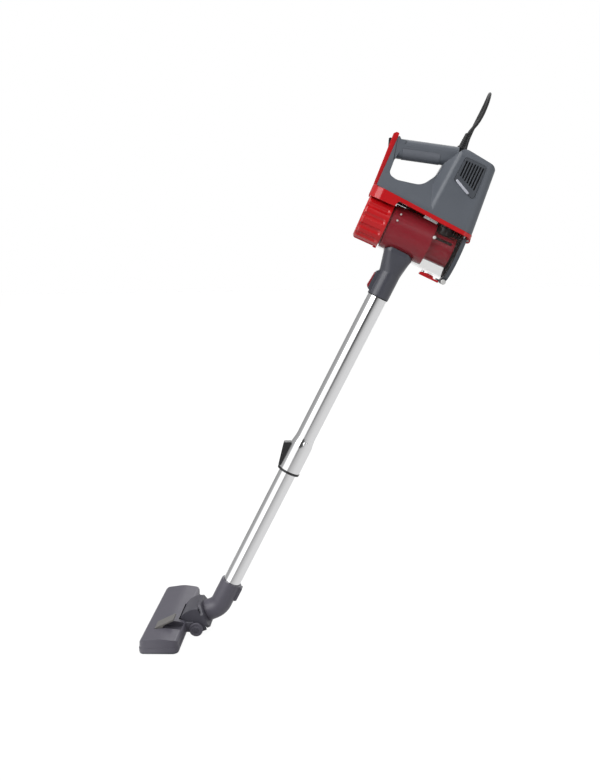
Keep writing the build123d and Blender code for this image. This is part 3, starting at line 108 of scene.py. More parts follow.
FLOOR_SIDE = 24.0
FLOOR_SINK = 0.0005
FLOOR_MIDDLE = (0.05, 0, 0)
FLOOR_GLOW = 0.84
FLOOR_CLEAR = 0.7
FLOOR_PAINT = (0.36, 0.36, 0.36, 1)
FLOOR_ROUGH = 0.9
bpy.ops.object.select_all(action="DESELECT")
bpy.ops.mesh.primitive_plane_add(size=FLOOR_SIDE, location=(0, 0, -FLOOR_SINK))
floor = bpy.context.object
floor.name = "studio_floor"
floor_white, f_nodes, f_links = new_material("floor_white")
f_paint = f_nodes["Principled BSDF"]
f_paint.inputs["Base Color"].default_value = FLOOR_PAINT
f_paint.inputs["Roughness"].default_value = FLOOR_ROUGH
f_paint.inputs["Specular IOR Level"].default_value = 0.0
f_paint.inputs["Emission Color"].default_value = (1, 1, 1, 1)
floor_level = ray_level(f_nodes, f_links, "Object", FLOOR_GLOW, 0.0, middle=FLOOR_MIDDLE)
f_links.new(floor_level, f_paint.inputs["Emission Strength"])
# To the camera the floor is partly clear, and wholly clear from below, so a head under it still shows.
f_path = f_nodes.new("ShaderNodeLightPath")
f_side = f_nodes.new("ShaderNodeNewGeometry")
f_clear = f_nodes.new("ShaderNodeMapRange")
f_clear.inputs["To Min"].default_value = FLOOR_CLEAR
f_links.new(f_side.outputs["Backfacing"], f_clear.inputs["Value"])
f_seen = f_nodes.new("ShaderNodeMath")
f_seen.operation = "MULTIPLY"
f_links.new(f_path.outputs["Is Camera Ray"], f_seen.inputs[0])
f_links.new(f_clear.outputs["Result"], f_seen.inputs[1])
f_mix = f_nodes.new("ShaderNodeMixShader")
f_through = f_nodes.new("ShaderNodeBsdfTransparent")
f_links.new(f_seen.outputs[0], f_mix.inputs["Fac"])
f_links.new(f_paint.outputs["BSDF"], f_mix.inputs[1])
f_links.new(f_through.outputs["BSDF"], f_mix.inputs[2])
f_links.new(f_mix.outputs["Shader"], f_nodes["Material Output"].inputs["Surface"])
floor.data.materials.append(floor_white)
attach(floor, "lower_wand")


def soft_lamp(name, place, aim, size, power):
    """A square soft box at a place, turned to what it lights."""
    bpy.ops.object.light_add(type="AREA", location=place)
    lamp = bpy.context.object
    lamp.name = name
    lamp.data.size = size
    lamp.data.energy = power
    lamp.rotation_euler = (Vector(aim) - Vector(place)).to_track_quat("-Z", "Y").to_euler()


LAMP_AIM = (0.3, 0, 0.5)
TOP_AIM = (0.3, 0, 0.6)
soft_lamp("key_box", (-1.5, -2.0, 2.2), LAMP_AIM, size=2.6, power=58)
soft_lamp("fill_box", (1.9, -1.6, 1.2), LAMP_AIM, size=2.0, power=10)
soft_lamp("top_box", (0.3, 0.5, 2.6), TOP_AIM, size=2.2, power=16)
soft_lamp("back_box", (0.9, 2.4, 1.6), LAMP_AIM, size=2.2, power=24)

# Camera: where the photograph was taken from, worked out from the widths of the two tubes.
# It looks at the cleaner's left side, a little from above.
CAMERA_PLACE = (0.3354, -1.6718, 0.7100)
CAMERA_TURN = radians(3.05)
CAMERA_DROP = radians(9.0)
CAMERA_ROLL = radians(-0.99)
CAMERA_LENS = 57.0
SENSOR_WIDE = 36.0
back_flat = cos(CAMERA_DROP)
back = Vector((sin(CAMERA_TURN) * back_flat, -cos(CAMERA_TURN) * back_flat, sin(CAMERA_DROP)))
level_right = Vector((cos(CAMERA_TURN), sin(CAMERA_TURN), 0))
level_up = back.cross(level_right)
right = cos(CAMERA_ROLL) * level_right + sin(CAMERA_ROLL) * level_up
up = back.cross(right)
bpy.ops.object.camera_add()
camera = bpy.context.object
camera.name = "photo_camera"
camera.data.lens = CAMERA_LENS
camera.data.sensor_width = SENSOR_WIDE
camera.data.sensor_fit = "HORIZONTAL"
turned = Matrix((right, up, back)).transposed().to_4x4()
camera.matrix_world = Matrix.Translation(CAMERA_PLACE) @ turned
bpy.context.scene.camera = camera

# Mains cord: a round lead with a black rubber sheath, up from the boot in one loop and down behind the
# housing, then wound in flat layers into a coil on the far side. Its route is the solid cord's route.
# The hand unit's frame starts in the middle of the connector's rim and leans back from there.
MM = 0.001
RIM = Vector((0.385568, 0, 0.609779))
HAND_LEAN = radians(25.0)
hand_frame = Matrix.Translation(RIM) @ Matrix.Rotation(HAND_LEAN, 4, "Y")
CORD = 6.0
COIL_PITCH = 6.5
COIL_INNER = 25.0
COIL_LAYERS = 4
COIL_TURNS = 4.625
COIL_U = 41.0
COIL_W = 157.0
COIL_GAP = 47.6
COIL_TAIL = 70.0
TAIL_RISE = 11.0
LAYER_CLIMB = 0.5
POINTS_A_TURN = 24
TAIL_POINTS = 4
LEAD = [
    (24, 0, 296), (24, 0, 312.5), (33, 0.5, 338), (33.2, 6, 370), (31.5, 31, 393), (33.5, 58, 393),
    (35, 76, 374), (34, 80, 348), (33.2, 78, 312), (38.5, 75, 287), (55, 69, 266), (74, 62, 247),
    (88.5, 56, 223), (95.5, 52, 195),
]
coil_outer = COIL_INNER + COIL_TURNS * COIL_PITCH
coil_end = COIL_LAYERS * COIL_TURNS


def in_hand(u, v, w):
    """A point of the hand unit in the shared frame, from millimetres along the cup, across and up."""
    return hand_frame @ Vector((u * MM, v * MM, w * MM))


def ease(t):
    """From 0 to 1 with a soft start and a soft end."""
    t = min(max(t, 0.0), 1.0)
    return t * t * (3 - 2 * t)


def coil_point(turns):
    """A point on the coil: the radius goes in and out, one layer to the next."""
    inward = (min(turns, coil_end) / COIL_TURNS) % 2.0
    reach = coil_outer - (inward if inward <= 1.0 else 2.0 - inward) * (coil_outer - COIL_INNER)
    layer_ends = [COIL_TURNS * (layer + 1) for layer in range(COIL_LAYERS - 1)]
    climbed = sum(ease((turns - end) / LAYER_CLIMB + 0.5) for end in layer_ends)
    tail = ease((turns - coil_end) * 360 / COIL_TAIL) * TAIL_RISE
    angle = -2 * pi * turns
    across = COIL_GAP + CORD / 2 + COIL_PITCH * climbed + tail
    return COIL_U + reach * cos(angle), across, COIL_W + reach * sin(angle)


coil_steps = int(coil_end * POINTS_A_TURN)
coil_route = [coil_point(step / POINTS_A_TURN) for step in range(coil_steps + 1)]
tail_turns = COIL_TAIL / 360
coil_route += [coil_point(coil_end + tail_turns * part / TAIL_POINTS) for part in range(1, TAIL_POINTS + 1)]
route = [in_hand(*point) for point in LEAD + coil_route]
cord_curve = bpy.data.curves.new("mains_lead", "CURVE")
cord_curve.dimensions = "3D"
cord_curve.bevel_depth = CORD / 2 * MM
cord_curve.bevel_resolution = 4
cord_curve.resolution_u = 4
cord_curve.use_fill_caps = True
strand = cord_curve.splines.new("NURBS")
strand.points.add(len(route) - 1)
for point, place in zip(strand.points, route):
    point.co = (*place, 1.0)
strand.order_u = 3
strand.use_endpoint_u = True
mains_lead = bpy.data.objects.new("mains_lead", cord_curve)
bpy.context.collection.objects.link(mains_lead)


GRAIN_TALL = 0.0005
EDGE_ROUND = 0.0012
ROUGH_SHIFT = 0.08


def grained(name, colour, rough, grain=1400.0, depth=0.05, patches=35.0, shift=0.06):
    """Moulded plastic or rubber: fine grain, softened edges, faint cloudy patches in colour and gloss."""
    material, nodes, links = new_material(name)
    shader = nodes["Principled BSDF"]
    place = nodes.new("ShaderNodeTexCoord")
    cloud = nodes.new("ShaderNodeTexNoise")
    cloud.inputs["Scale"].default_value = patches
    cloud.inputs["Detail"].default_value = 4.0
    links.new(place.outputs["Object"], cloud.inputs["Vector"])
    tint = nodes.new("ShaderNodeMix")
    tint.data_type = "RGBA"
    tint.inputs["A"].default_value = [c * (1 - shift) for c in colour[:3]] + [1]
    tint.inputs["B"].default_value = [min(c * (1 + shift), 1) for c in colour[:3]] + [1]
    links.new(cloud.outputs["Fac"], tint.inputs["Factor"])
    links.new(tint.outputs["Result"], shader.inputs["Base Color"])
    gloss = nodes.new("ShaderNodeMapRange")
    gloss.inputs["To Min"].default_value = rough - ROUGH_SHIFT
    gloss.inputs["To Max"].default_value = rough + ROUGH_SHIFT
    links.new(cloud.outputs["Fac"], gloss.inputs["Value"])
    links.new(gloss.outputs["Result"], shader.inputs["Roughness"])
    fine = nodes.new("ShaderNodeTexNoise")
    fine.inputs["Scale"].default_value = grain
    fine.inputs["Detail"].default_value = 2.0
    links.new(place.outputs["Object"], fine.inputs["Vector"])
    rounded = nodes.new("ShaderNodeBevel")
    rounded.samples = 4
    rounded.inputs["Radius"].default_value = EDGE_ROUND
    bump = nodes.new("ShaderNodeBump")
    bump.inputs["Strength"].default_value = depth
    bump.inputs["Distance"].default_value = GRAIN_TALL
    links.new(fine.outputs["Fac"], bump.inputs["Height"])
    links.new(rounded.outputs["Normal"], bump.inputs["Normal"])
    links.new(bump.outputs["Normal"], shader.inputs["Normal"])
    return material


black_rubber = grained("black_rubber", rgb(17, 17, 18), rough=0.5, grain=2200.0, depth=0.12)
mains_lead.data.materials.append(black_rubber)
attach(mains_lead, "hand_unit")
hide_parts("mains_cord", "cord_coil")


# Cord boot: a tapered sleeve of black rubber, moulded with rings so that it bends with the cord.
# Its foot sits in a hole in the top of the housing, and a flange lies on the rim of the hole.
BOOT_U = 24.0
BOOT_RINGS = 7
RING_START = 288.4
RING_PITCH = 3.3
RING_RADIUS = 5.6
RING_TAPER = 0.21
RING_SHAPE = [(0, 0), (-0.1, 2.1), (-0.9, 2.4), (-0.9, 3.0)]
BOOT_FOOT = [(3.1, 276), (4.9, 276), (4.9, 285.3), (7.2, 285.3), (7.2, 287.2), (6.0, 287.8)]
BOOT_TIP = [(4.1, 311.4), (3.1, 311.8)]


def lathe(name, profile, sides=48, closed=False):
    """Turn a profile of radius and height pairs in millimetres: a circle is drawn up and resized by steps."""
    profile = [(radius * MM, height * MM) for radius, height in profile]
    bpy.ops.object.select_all(action="DESELECT")
    radius, height = profile[0]
    bpy.ops.mesh.primitive_circle_add(vertices=sides, radius=radius, location=(0, 0, height))
    piece = bpy.context.object
    piece.name = name
    bpy.ops.object.transform_apply(location=True, rotation=True, scale=True)
    bpy.ops.object.mode_set(mode="EDIT")
    bpy.ops.mesh.select_all(action="SELECT")
    if not closed:
        bpy.ops.mesh.edge_face_add()
    for low, high in zip(profile, profile[1:]):
        bpy.ops.mesh.extrude_region_move(TRANSFORM_OT_translate={"value": (0, 0, high[1] - low[1])})
        grow = high[0] / low[0]
        bpy.ops.transform.resize(value=(grow, grow, 1), center_override=(0, 0, high[1]))
    if closed:
        bpy.ops.mesh.select_all(action="DESELECT")
        bpy.ops.mesh.select_non_manifold()
        bpy.ops.mesh.bridge_edge_loops()
    bpy.ops.mesh.select_all(action="SELECT")
    bpy.ops.mesh.remove_doubles(threshold=1e-6)
    bpy.ops.mesh.normals_make_consistent(inside=False)
    bpy.ops.object.mode_set(mode="OBJECT")
    return piece


SMOOTH_ANGLE = radians(35)


def settle(piece, material, body, place=None, stands_for=()):
    """Put a finished piece in its frame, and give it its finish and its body."""
    bpy.ops.object.select_all(action="DESELECT")
    piece.select_set(True)
    bpy.context.view_layer.objects.active = piece
    bpy.ops.object.transform_apply(location=True, rotation=True, scale=True)
    if place is not None:
        piece.data.transform(place)
    piece.data.materials.clear()
    piece.data.materials.append(material)
    bpy.ops.object.shade_smooth_by_angle(angle=SMOOTH_ANGLE)
    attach(piece, body)
    if stands_for:
        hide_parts(*stands_for)


def move(u, v, w):
    """A move in millimetres."""
    return Matrix.Translation(Vector((u, v, w)) * MM)


boot_profile = list(BOOT_FOOT)
for ring in range(BOOT_RINGS):
    low = RING_START + ring * RING_PITCH
    size = RING_RADIUS - ring * RING_TAPER
    boot_profile += [(size + out, low + rise) for out, rise in RING_SHAPE]
boot = lathe("boot_sleeve", boot_profile + BOOT_TIP, closed=True)
settle(boot, black_rubber, "hand_unit", hand_frame @ move(BOOT_U, 0, 0), ["cord_boot"])

# Mains plug: a flat body and a ringed neck of black rubber, moulded in one on the cord's end.
# Its two steel pins have plastic sleeves at their roots.
PLUG_START = (22.17, 81.1, 208.74)
PLUG_LEAN = radians(20)
PLUG_WIDE = 34.0
PLUG_THICK = 14.0
PLUG_BACK = 21.0
PLUG_FACE = 40.0
PLUG_TAPER = 12.0
TAPER_WIDE = 14.0
TAPER_THICK = 10.0
FACE_RIM = 2.2
FACE_DIP = 0.8
PLUG_ROUND = 3.0
NECK_RINGS = 4
NECK_PITCH = 2.2
NECK_RING = 4.3
NECK_RING_GROW = 0.3
NECK_RING_EDGES = (0.5, 1.9)
NECK_GROOVE = (3.7, 2.1)
NECK_END = 11.0
PIN_SIDE = 9.5
SLEEVE_PROFILE = [(1.9, 39), (2.0, 39.4), (2.0, 48.6), (1.9, 49)]
PIN_PROFILE = [(1.85, 48.9), (1.9, 49.2), (1.9, 57.8), (1.5, 58.7), (0.7, 59)]
plug_way = Vector((cos(PLUG_LEAN), 0, sin(PLUG_LEAN)))
plug_side = plug_way.cross(Vector((0, 1, 0)))
plug_turn = Matrix((plug_side, plug_way.cross(plug_side), plug_way)).transposed().to_4x4()
plug_frame = hand_frame @ move(*PLUG_START) @ plug_turn


def pick_faces(piece, test):
    """Go to edit mode with those faces selected whose normal passes a test."""
    bpy.ops.object.mode_set(mode="EDIT")
    bpy.ops.mesh.select_mode(type="FACE")
    bpy.ops.object.mode_set(mode="OBJECT")
    for face in piece.data.polygons:
        face.select = test(face.normal)
    bpy.ops.object.mode_set(mode="EDIT")


def round_edges(piece, width, segments, least_angle=30):
    """Round every edge that is sharper than an angle in degrees."""
    soften = piece.modifiers.new("rounded", "BEVEL")
    soften.width = width * MM
    soften.segments = segments
    soften.limit_method = "ANGLE"
    soften.angle_limit = radians(least_angle)
    bpy.ops.object.modifier_apply(modifier="rounded")


def block(name, low, high, round_off=0.0, segments=3):
    """A block between two corners in millimetres, its edges rounded."""
    bpy.ops.object.select_all(action="DESELECT")
    middle = [(a + b) / 2 * MM for a, b in zip(low, high)]
    size = [(b - a) * MM for a, b in zip(low, high)]
    bpy.ops.mesh.primitive_cube_add(size=1.0, location=middle, scale=size)
    piece = bpy.context.object
    piece.name = name
    bpy.ops.object.transform_apply(location=True, rotation=True, scale=True)
    if round_off:
        round_edges(piece, round_off, segments)
    return piece


half_wide = PLUG_WIDE / 2
half_thick = PLUG_THICK / 2
plug = block("plug_body", (-half_wide, -half_thick, PLUG_BACK), (half_wide, half_thick, PLUG_FACE))
pick_faces(plug, lambda normal: normal.z < -0.9)
bpy.ops.mesh.extrude_region_move(TRANSFORM_OT_translate={"value": (0, 0, -PLUG_TAPER * MM)})
narrow = (TAPER_WIDE / PLUG_WIDE, TAPER_THICK / PLUG_THICK, 1)
bpy.ops.transform.resize(value=narrow, center_override=(0, 0, (PLUG_BACK - PLUG_TAPER) * MM))
pick_faces(plug, lambda normal: normal.z > 0.9)
bpy.ops.mesh.inset(thickness=FACE_RIM * MM, depth=-FACE_DIP * MM)
bpy.ops.object.mode_set(mode="OBJECT")
round_edges(plug, PLUG_ROUND, 4, least_angle=40)
neck_profile = []
for ring in range(NECK_RINGS):
    low = NECK_PITCH * ring
    size = NECK_RING + NECK_RING_GROW * ring
    neck_profile += [(size, edge + low) for edge in NECK_RING_EDGES]
    neck_profile.append((NECK_GROOVE[0], NECK_GROOVE[1] + low))
plug_neck = lathe("plug_neck", neck_profile + [(NECK_GROOVE[0], NECK_END)])
settle(plug, black_rubber, "hand_unit", plug_frame, ["mains_plug"])
settle(plug_neck, black_rubber, "hand_unit", plug_frame)


def metal(name, colour, rough, streak=220.0, spread=0.05):
    """Bare or plated metal, its gloss broken by faint rubbing marks."""
    material, nodes, links = new_material(name)
    shader = nodes["Principled BSDF"]
    shader.inputs["Base Color"].default_value = colour
    shader.inputs["Metallic"].default_value = 1.0
    place = nodes.new("ShaderNodeTexCoord")
    marks = nodes.new("ShaderNodeTexNoise")
    marks.inputs["Scale"].default_value = streak
    marks.inputs["Detail"].default_value = 5.0
    links.new(place.outputs["Object"], marks.inputs["Vector"])
    gloss = nodes.new("ShaderNodeMapRange")
    gloss.inputs["To Min"].default_value = max(rough - spread, 0.02)
    gloss.inputs["To Max"].default_value = rough + spread
    links.new(marks.outputs["Fac"], gloss.inputs["Value"])
    links.new(gloss.outputs["Result"], shader.inputs["Roughness"])
    return material


steel = metal("steel", rgb(196, 196, 194), rough=0.28)
black_plastic = grained("black_plastic", rgb(30, 30, 32), rough=0.38)
plug_pieces = [plug, plug_neck]
for side in (-1, 1):
    pin_frame = plug_frame @ move(side * PIN_SIDE, 0, 0)
    sleeve = lathe("plug_sleeve", SLEEVE_PROFILE, sides=24)
    settle(sleeve, black_plastic, "hand_unit", pin_frame)
    pin = lathe("plug_pin", PIN_PROFILE, sides=24)
    settle(pin, steel, "hand_unit", pin_frame)
    plug_pieces += [sleeve, pin]

# Cord tie: a strap of black hook-and-loop cloth, wrapped round the coil's turns.
# Its end is lapped over and stuck down on the outer side.
TIE_WIDE = 14.0
TIE_LOW = (47.2, 98.6)
TIE_HIGH = (73.5, 136.7)
TIE_BEND = 5.0
TIE_THICK = 1.2
LAP_WIDE = 13.2
LAP_LOW = (74.6, 106)
LAP_HIGH = (75.9, 128)
tie = block("cord_strap", (COIL_U - TIE_WIDE / 2, *TIE_LOW), (COIL_U + TIE_WIDE / 2, *TIE_HIGH))
pick_faces(tie, lambda normal: abs(normal.x) > 0.9)
bpy.ops.mesh.delete(type="ONLY_FACE")
bpy.ops.mesh.select_mode(type="EDGE")
bpy.ops.object.mode_set(mode="OBJECT")
for edge in tie.data.edges:
    start, end = [tie.data.vertices[index].co for index in edge.vertices]
    edge.select = abs(start.x - end.x) > TIE_WIDE / 2 * MM
bpy.ops.object.mode_set(mode="EDIT")
bpy.ops.mesh.bevel(offset=TIE_BEND * MM, segments=5)
bpy.ops.object.mode_set(mode="OBJECT")
wall = tie.modifiers.new("wall", "SOLIDIFY")
wall.thickness = TIE_THICK * MM
wall.offset = 1.0
bpy.ops.object.modifier_apply(modifier="wall")
strap_cloth = grained(
    "strap_cloth", rgb(24, 24, 26), rough=0.85, grain=5200.0, depth=0.6, patches=160.0, shift=0.25
)
settle(tie, strap_cloth, "hand_unit", hand_frame, ["cord_tie"])
lap_corners = (COIL_U - LAP_WIDE / 2, *LAP_LOW), (COIL_U + LAP_WIDE / 2, *LAP_HIGH)
lap = block("cord_strap_end", *lap_corners, round_off=0.5, segments=2)
settle(lap, strap_cloth, "hand_unit", hand_frame)


# Housing: two halves of tough grey plastic, injection moulded with a fine grain.
# They meet on the middle plane and are held by steel screws from the far side.
def dress(material, *names):
    """Give CAD nodes a finish."""
    for name in names:
        mesh = node[name].data
        mesh.materials.clear()
        mesh.materials.append(material)


grey_plastic = grained("grey_plastic", rgb(92, 97, 105), rough=0.40)
dress(grey_plastic, "housing_left", "housing_right")
dress(steel, "housing_screws")

# Vents: a slatted grille of dark grey plastic is clipped in each side of the housing and lets the air out.
# Behind the slats is a dark woven screen, and a bar is set along the lower edge; its near-white colour is a
# painted highlight on its glossy face.
SCREEN_V = 40.8
SCREEN_THICK = 1.0
SCREEN_HEM = 0.3
SCREEN_CORNERS = {
    ("front", "high"): (35.5, 269.5), ("rear", "high"): (71.5, 268.5),
    ("front", "low"): (33, 231), ("rear", "low"): (74, 213),
}
SCREEN_SPAN = (33, 213), (74, 269.5)
BAR_START = (35.4, 230.7)
BAR_END = (63.8, 217.4)
BAR_V = 44.6
BAR_THICK = 5.2
BAR_TALL = 4.6
dark_grey = grained("dark_grey", rgb(70, 74, 81), rough=0.45)
screen_mesh = grained("screen_mesh", rgb(46, 47, 51), rough=0.8, grain=1500.0, depth=0.7)
# The vent bar's near-white colour is a painted highlight.
bar_painted_highlight = grained("bar_painted_highlight", rgb(190, 192, 202), rough=0.18)
dress(dark_grey, "vent_grille_left", "vent_grille_right")
(screen_front, screen_foot), (screen_rear, screen_top) = SCREEN_SPAN
for side in (-1, 1):
    inner, outer = side * SCREEN_V - SCREEN_THICK / 2, side * SCREEN_V + SCREEN_THICK / 2
    screen = block("vent_screen", (screen_front, inner, screen_foot), (screen_rear, outer, screen_top))
    for corner in screen.data.vertices:
        along = "rear" if corner.co.x > (screen_front + screen_rear) / 2 * MM else "front"
        height = "high" if corner.co.z > (screen_foot + screen_top) / 2 * MM else "low"
        u, w = SCREEN_CORNERS[along, height]
        corner.co.x = u * MM
        corner.co.z = w * MM
    round_edges(screen, SCREEN_HEM, 2)
    settle(screen, screen_mesh, "hand_unit", hand_frame)
bar_way = Vector((BAR_END[0] - BAR_START[0], 0, BAR_END[1] - BAR_START[1]))
bar_turn = Matrix.Rotation(-bar_way.xz.angle_signed(Vector((1, 0))), 4, "Y")
bar_low = (0, -BAR_THICK / 2, -BAR_TALL / 2)
bar_high = (bar_way.length, BAR_THICK / 2, BAR_TALL / 2)
for side in (-1, 1):
    bar = block("vent_bar", bar_low, bar_high, round_off=2.0, segments=4)
    bar_place = move(BAR_START[0], side * BAR_V, BAR_START[1])
    settle(bar, bar_painted_highlight, "hand_unit", hand_frame @ bar_place @ bar_turn)

# Handle grip: a half sleeve of softer grey rubber on the underside of the handle.
# It is moulded over the hard plastic, with a coarser grain than the housing.
soft_grip = grained("soft_grip", rgb(98, 102, 110), rough=0.6, grain=900.0, depth=0.4)
dress(soft_grip, "handle_grip")

# Red trim: the spine down the front, the cradle that the cup hangs in, the twist cap and the door latch.
# All are of glossy red plastic, moulded in polished tools, and clipped, twisted or pinned in place.
red_plastic = grained("red_plastic", rgb(200, 24, 30), rough=0.16, grain=700.0, depth=0.03)
dress(red_plastic, "front_spine", "cup_cradle", "cap_ring", "door_latch")

# Switch: a black plastic rocker that turns on its own pins in the red spine.
# Its contact box is fixed behind it, inside the front wall.
dress(black_plastic, "power_switch", "switch_box")

# Dust cup: a tapered cup of clear plastic under the cradle. Its wall is drawn as a thin film, so the red
# frame and the dark filter sleeve in it show. The grey door hangs on a steel pin and closes on rubber seals.
FILM_TINT = (0.12, 0.1, 0.09, 1)
FILM_COVER = 0.09
FILM_IOR = 1.5
HAZE_SCALE = 60.0
HAZE_GLOSS = (0.02, 0.09)
inner_red = grained("inner_red", rgb(160, 8, 38), rough=0.24, grain=500.0, depth=0.03)
filter_paper = grained("filter_paper", rgb(72, 52, 54), rough=0.9, grain=2600.0, depth=0.4)
clear_plastic, c_nodes, c_links = new_material("clear_plastic")
c_shader = c_nodes["Principled BSDF"]
c_shader.inputs["Base Color"].default_value = FILM_TINT
c_shader.inputs["IOR"].default_value = FILM_IOR
c_shader.inputs["Alpha"].default_value = FILM_COVER
c_place = c_nodes.new("ShaderNodeTexCoord")
c_haze = c_nodes.new("ShaderNodeTexNoise")
c_haze.inputs["Scale"].default_value = HAZE_SCALE
c_links.new(c_place.outputs["Object"], c_haze.inputs["Vector"])
c_gloss = c_nodes.new("ShaderNodeMapRange")
c_gloss.inputs["To Min"].default_value = HAZE_GLOSS[0]
c_gloss.inputs["To Max"].default_value = HAZE_GLOSS[1]
c_links.new(c_haze.outputs["Fac"], c_gloss.inputs["Value"])
c_links.new(c_gloss.outputs["Result"], c_shader.inputs["Roughness"])
dress(clear_plastic, "dust_cup")
dress(inner_red, "filter_frame")
dress(filter_paper, "filter_element")
dress(dark_grey, "cup_door")
dress(black_rubber, "cap_seal", "door_seal")
dress(steel, "door_hinge_pin", "latch_spring")

# Cup's roof: a black rubber pad between the cup and the cradle, and in the cup a short duct of black plastic
# up to the roof.
# Both are painted shade: dark pieces set under the red trim where its shadow falls, showing through the clear
# wall as that shadow.
SHADE_PAD_LOW = (-38, -7, 157.8)
SHADE_PAD_HIGH = (34, 7, 161.2)
SHADE_DUCT_U = 58.0
SHADE_DUCT_PROFILE = [(14.6, 141), (16.4, 141), (16.4, 153.4), (17.6, 153.8), (17.6, 155.3), (14.6, 155.3)]
# Painted shade: the dark pad and duct stand for the trim's shadow on the cup.
shade_pad = block("cup_roof_shade_pad", SHADE_PAD_LOW, SHADE_PAD_HIGH, round_off=0.8, segments=2)
settle(shade_pad, black_rubber, "hand_unit", hand_frame)
shade_duct = lathe("outlet_shade_duct", SHADE_DUCT_PROFILE, closed=True)
settle(shade_duct, black_plastic, "hand_unit", hand_frame @ move(SHADE_DUCT_U, 0, 0))

# Pale trim of the cup: caps of pale plastic pressed on the ends of the door's bead, and small round lugs
# moulded on the cup's wall, three on each side. The lugs' pale colour is a painted highlight: bright glints
# on the cup.
BEAD_CENTRE = (90.7, 68.7)
BEAD_HALF = 20.0
CAP_PROFILE = [(4.45, 0), (4.45, 0.7), (4.0, 1.3), (3.0, 1.8), (1.2, 2.1)]
CUP_AXIS = 118.0
CUP_GLINT_LUGS = [(-23.7, 142.8, 42.6, 1.7), (-25.3, 130.6, 42.6, 1.7), (43.2, 130.2, 44.7, 3.0)]
LUG_SHAPE = [(1.0, -0.6), (1.0, 0.1), (0.86, 0.3), (0.55, 0.46), (0.2, 0.54)]
pale_plastic_and_glint = grained("pale_plastic_and_glint", rgb(206, 206, 204), rough=0.2)
for side in (-1, 1):
    cap = lathe("bead_cap", CAP_PROFILE, sides=32)
    cap_place = move(BEAD_CENTRE[0], side * BEAD_HALF, BEAD_CENTRE[1])
    cap_turn = Matrix.Rotation(-side * pi / 2, 4, "X")
    settle(cap, pale_plastic_and_glint, "cup_door", hand_frame @ cap_place @ cap_turn)
# The pale lugs are painted highlights, set where bright glints show on the cup.
for along, high, wall_radius, lug_radius in CUP_GLINT_LUGS:
    lean = asin((high - CUP_AXIS) / wall_radius)
    lug_profile = [(lug_radius * out, lug_radius * rise) for out, rise in LUG_SHAPE]
    for side in (-1, 1):
        lug = lathe("cup_glint_lug", lug_profile, sides=32)
        lug_place = move(along, side * wall_radius * cos(lean), high)
        lug_turn = Matrix.Rotation(-side * (pi / 2 - lean), 4, "X")
        settle(lug, pale_plastic_and_glint, "hand_unit", hand_frame @ lug_place @ lug_turn)

# Motor: a pressed steel case on a rubber cushion inside the housing, with a steel rotor in two bearings.
# Carbon brushes feed it from a black terminal block, and it drives a plastic fan under a black cover.
dark_steel = metal("dark_steel", rgb(96, 96, 98), rough=0.45)
carbon = grained("carbon", rgb(38, 38, 40), rough=0.7)
foam = grained("foam", rgb(52, 52, 54), rough=0.95, grain=900.0, depth=0.8)
dress(dark_steel, "motor_case")
dress(steel, "motor_rotor", "lower_bearing", "upper_bearing")
dress(carbon, "carbon_brushes")
dress(dark_grey, "fan_impeller")
dress(black_plastic, "fan_cover", "terminal_block")
dress(black_rubber, "motor_cushion")
dress(foam, "exhaust_foam")

# Connector: a sleeve of dark grey plastic on the wand, which opens out to a saddle under the dust cup.
# A rubber ring at its mouth seals it on the tube, and a dark red button in it lets the wand go.
connector_grey = grained("connector_grey", rgb(70, 71, 80), rough=0.3)
dark_red = grained("dark_red", rgb(150, 30, 44), rough=0.32)
dress(connector_grey, "wand_connector")
dress(black_rubber, "connector_seal")
dress(dark_red, "release_button")

# Wand: two chrome-plated steel tubes, one sliding in the other on a black bush. The upper one ends in a
# swaged collar with a pressed dimple and a black ring. The black slider on it holds a steel roller.
WAND_LEAN = radians(27.5)
wand_frame = Matrix.Translation(RIM) @ Matrix.Rotation(WAND_LEAN, 4, "Y")
COLLAR_FOOT = [(17.52, -349.9), (19.4, -349.9), (20.0, -349.3), (20.0, -303.0)]
COLLAR_STEPS = 8
COLLAR_RADIUS = 20.0
COLLAR_DRAW = 2.3
SLOPE_START = -303.0
SLOPE_LONG = 20.0
COLLAR_TOP = (17.52, -283.0)
DIMPLE_PROFILE = [(4.6, -1.5), (4.5, 0.0), (4.0, 0.8), (2.8, 1.4), (1.2, 1.7)]
DIMPLE_TURN = radians(15)
DIMPLE_W = -291.5
DIMPLE_OUT = 18.7
chrome = metal("chrome", rgb(226, 226, 227), rough=0.11, streak=90.0, spread=0.035)
dress(chrome, "upper_tube", "lower_tube")
dress(black_plastic, "collar_ring", "lock_slider", "tube_bush")
dress(steel, "lock_roller")
collar_profile = list(COLLAR_FOOT)
for step in range(1, COLLAR_STEPS + 1):
    share = step / COLLAR_STEPS
    collar_profile.append((COLLAR_RADIUS - COLLAR_DRAW * ease(share), SLOPE_START + SLOPE_LONG * share))
collar = lathe("swaged_collar", collar_profile + [COLLAR_TOP], sides=96, closed=True)
settle(collar, chrome, "hand_unit", wand_frame, ["lock_collar"])
dimple = lathe("collar_dimple", DIMPLE_PROFILE, sides=32)
around = Matrix.Rotation(DIMPLE_TURN - pi / 2, 4, "Z")
outward = move(DIMPLE_OUT, 0, 0) @ Matrix.Rotation(pi / 2, 4, "Y")
settle(dimple, chrome, "hand_unit", wand_frame @ move(0, 0, DIMPLE_W) @ around @ outward)

# Floor head: a low cover of grey plastic, screwed to a dark sole plate that carries the brush carrier.
# The elbow and the neck join it to the wand: a clip holds the swivel, and the drum pitches on the axle.
head_plastic = grained("head_plastic", rgb(88, 86, 96), rough=0.42)
drum_plastic = grained("drum_plastic", rgb(72, 71, 80), rough=0.44)
dress(head_plastic, "elbow", "head_cover")
dress(drum_plastic, "neck", "wheel_axle")
dress(dark_grey, "sole_plate", "brush_carrier")
dress(black_plastic, "swivel_clip")
dress(steel, "head_screws")

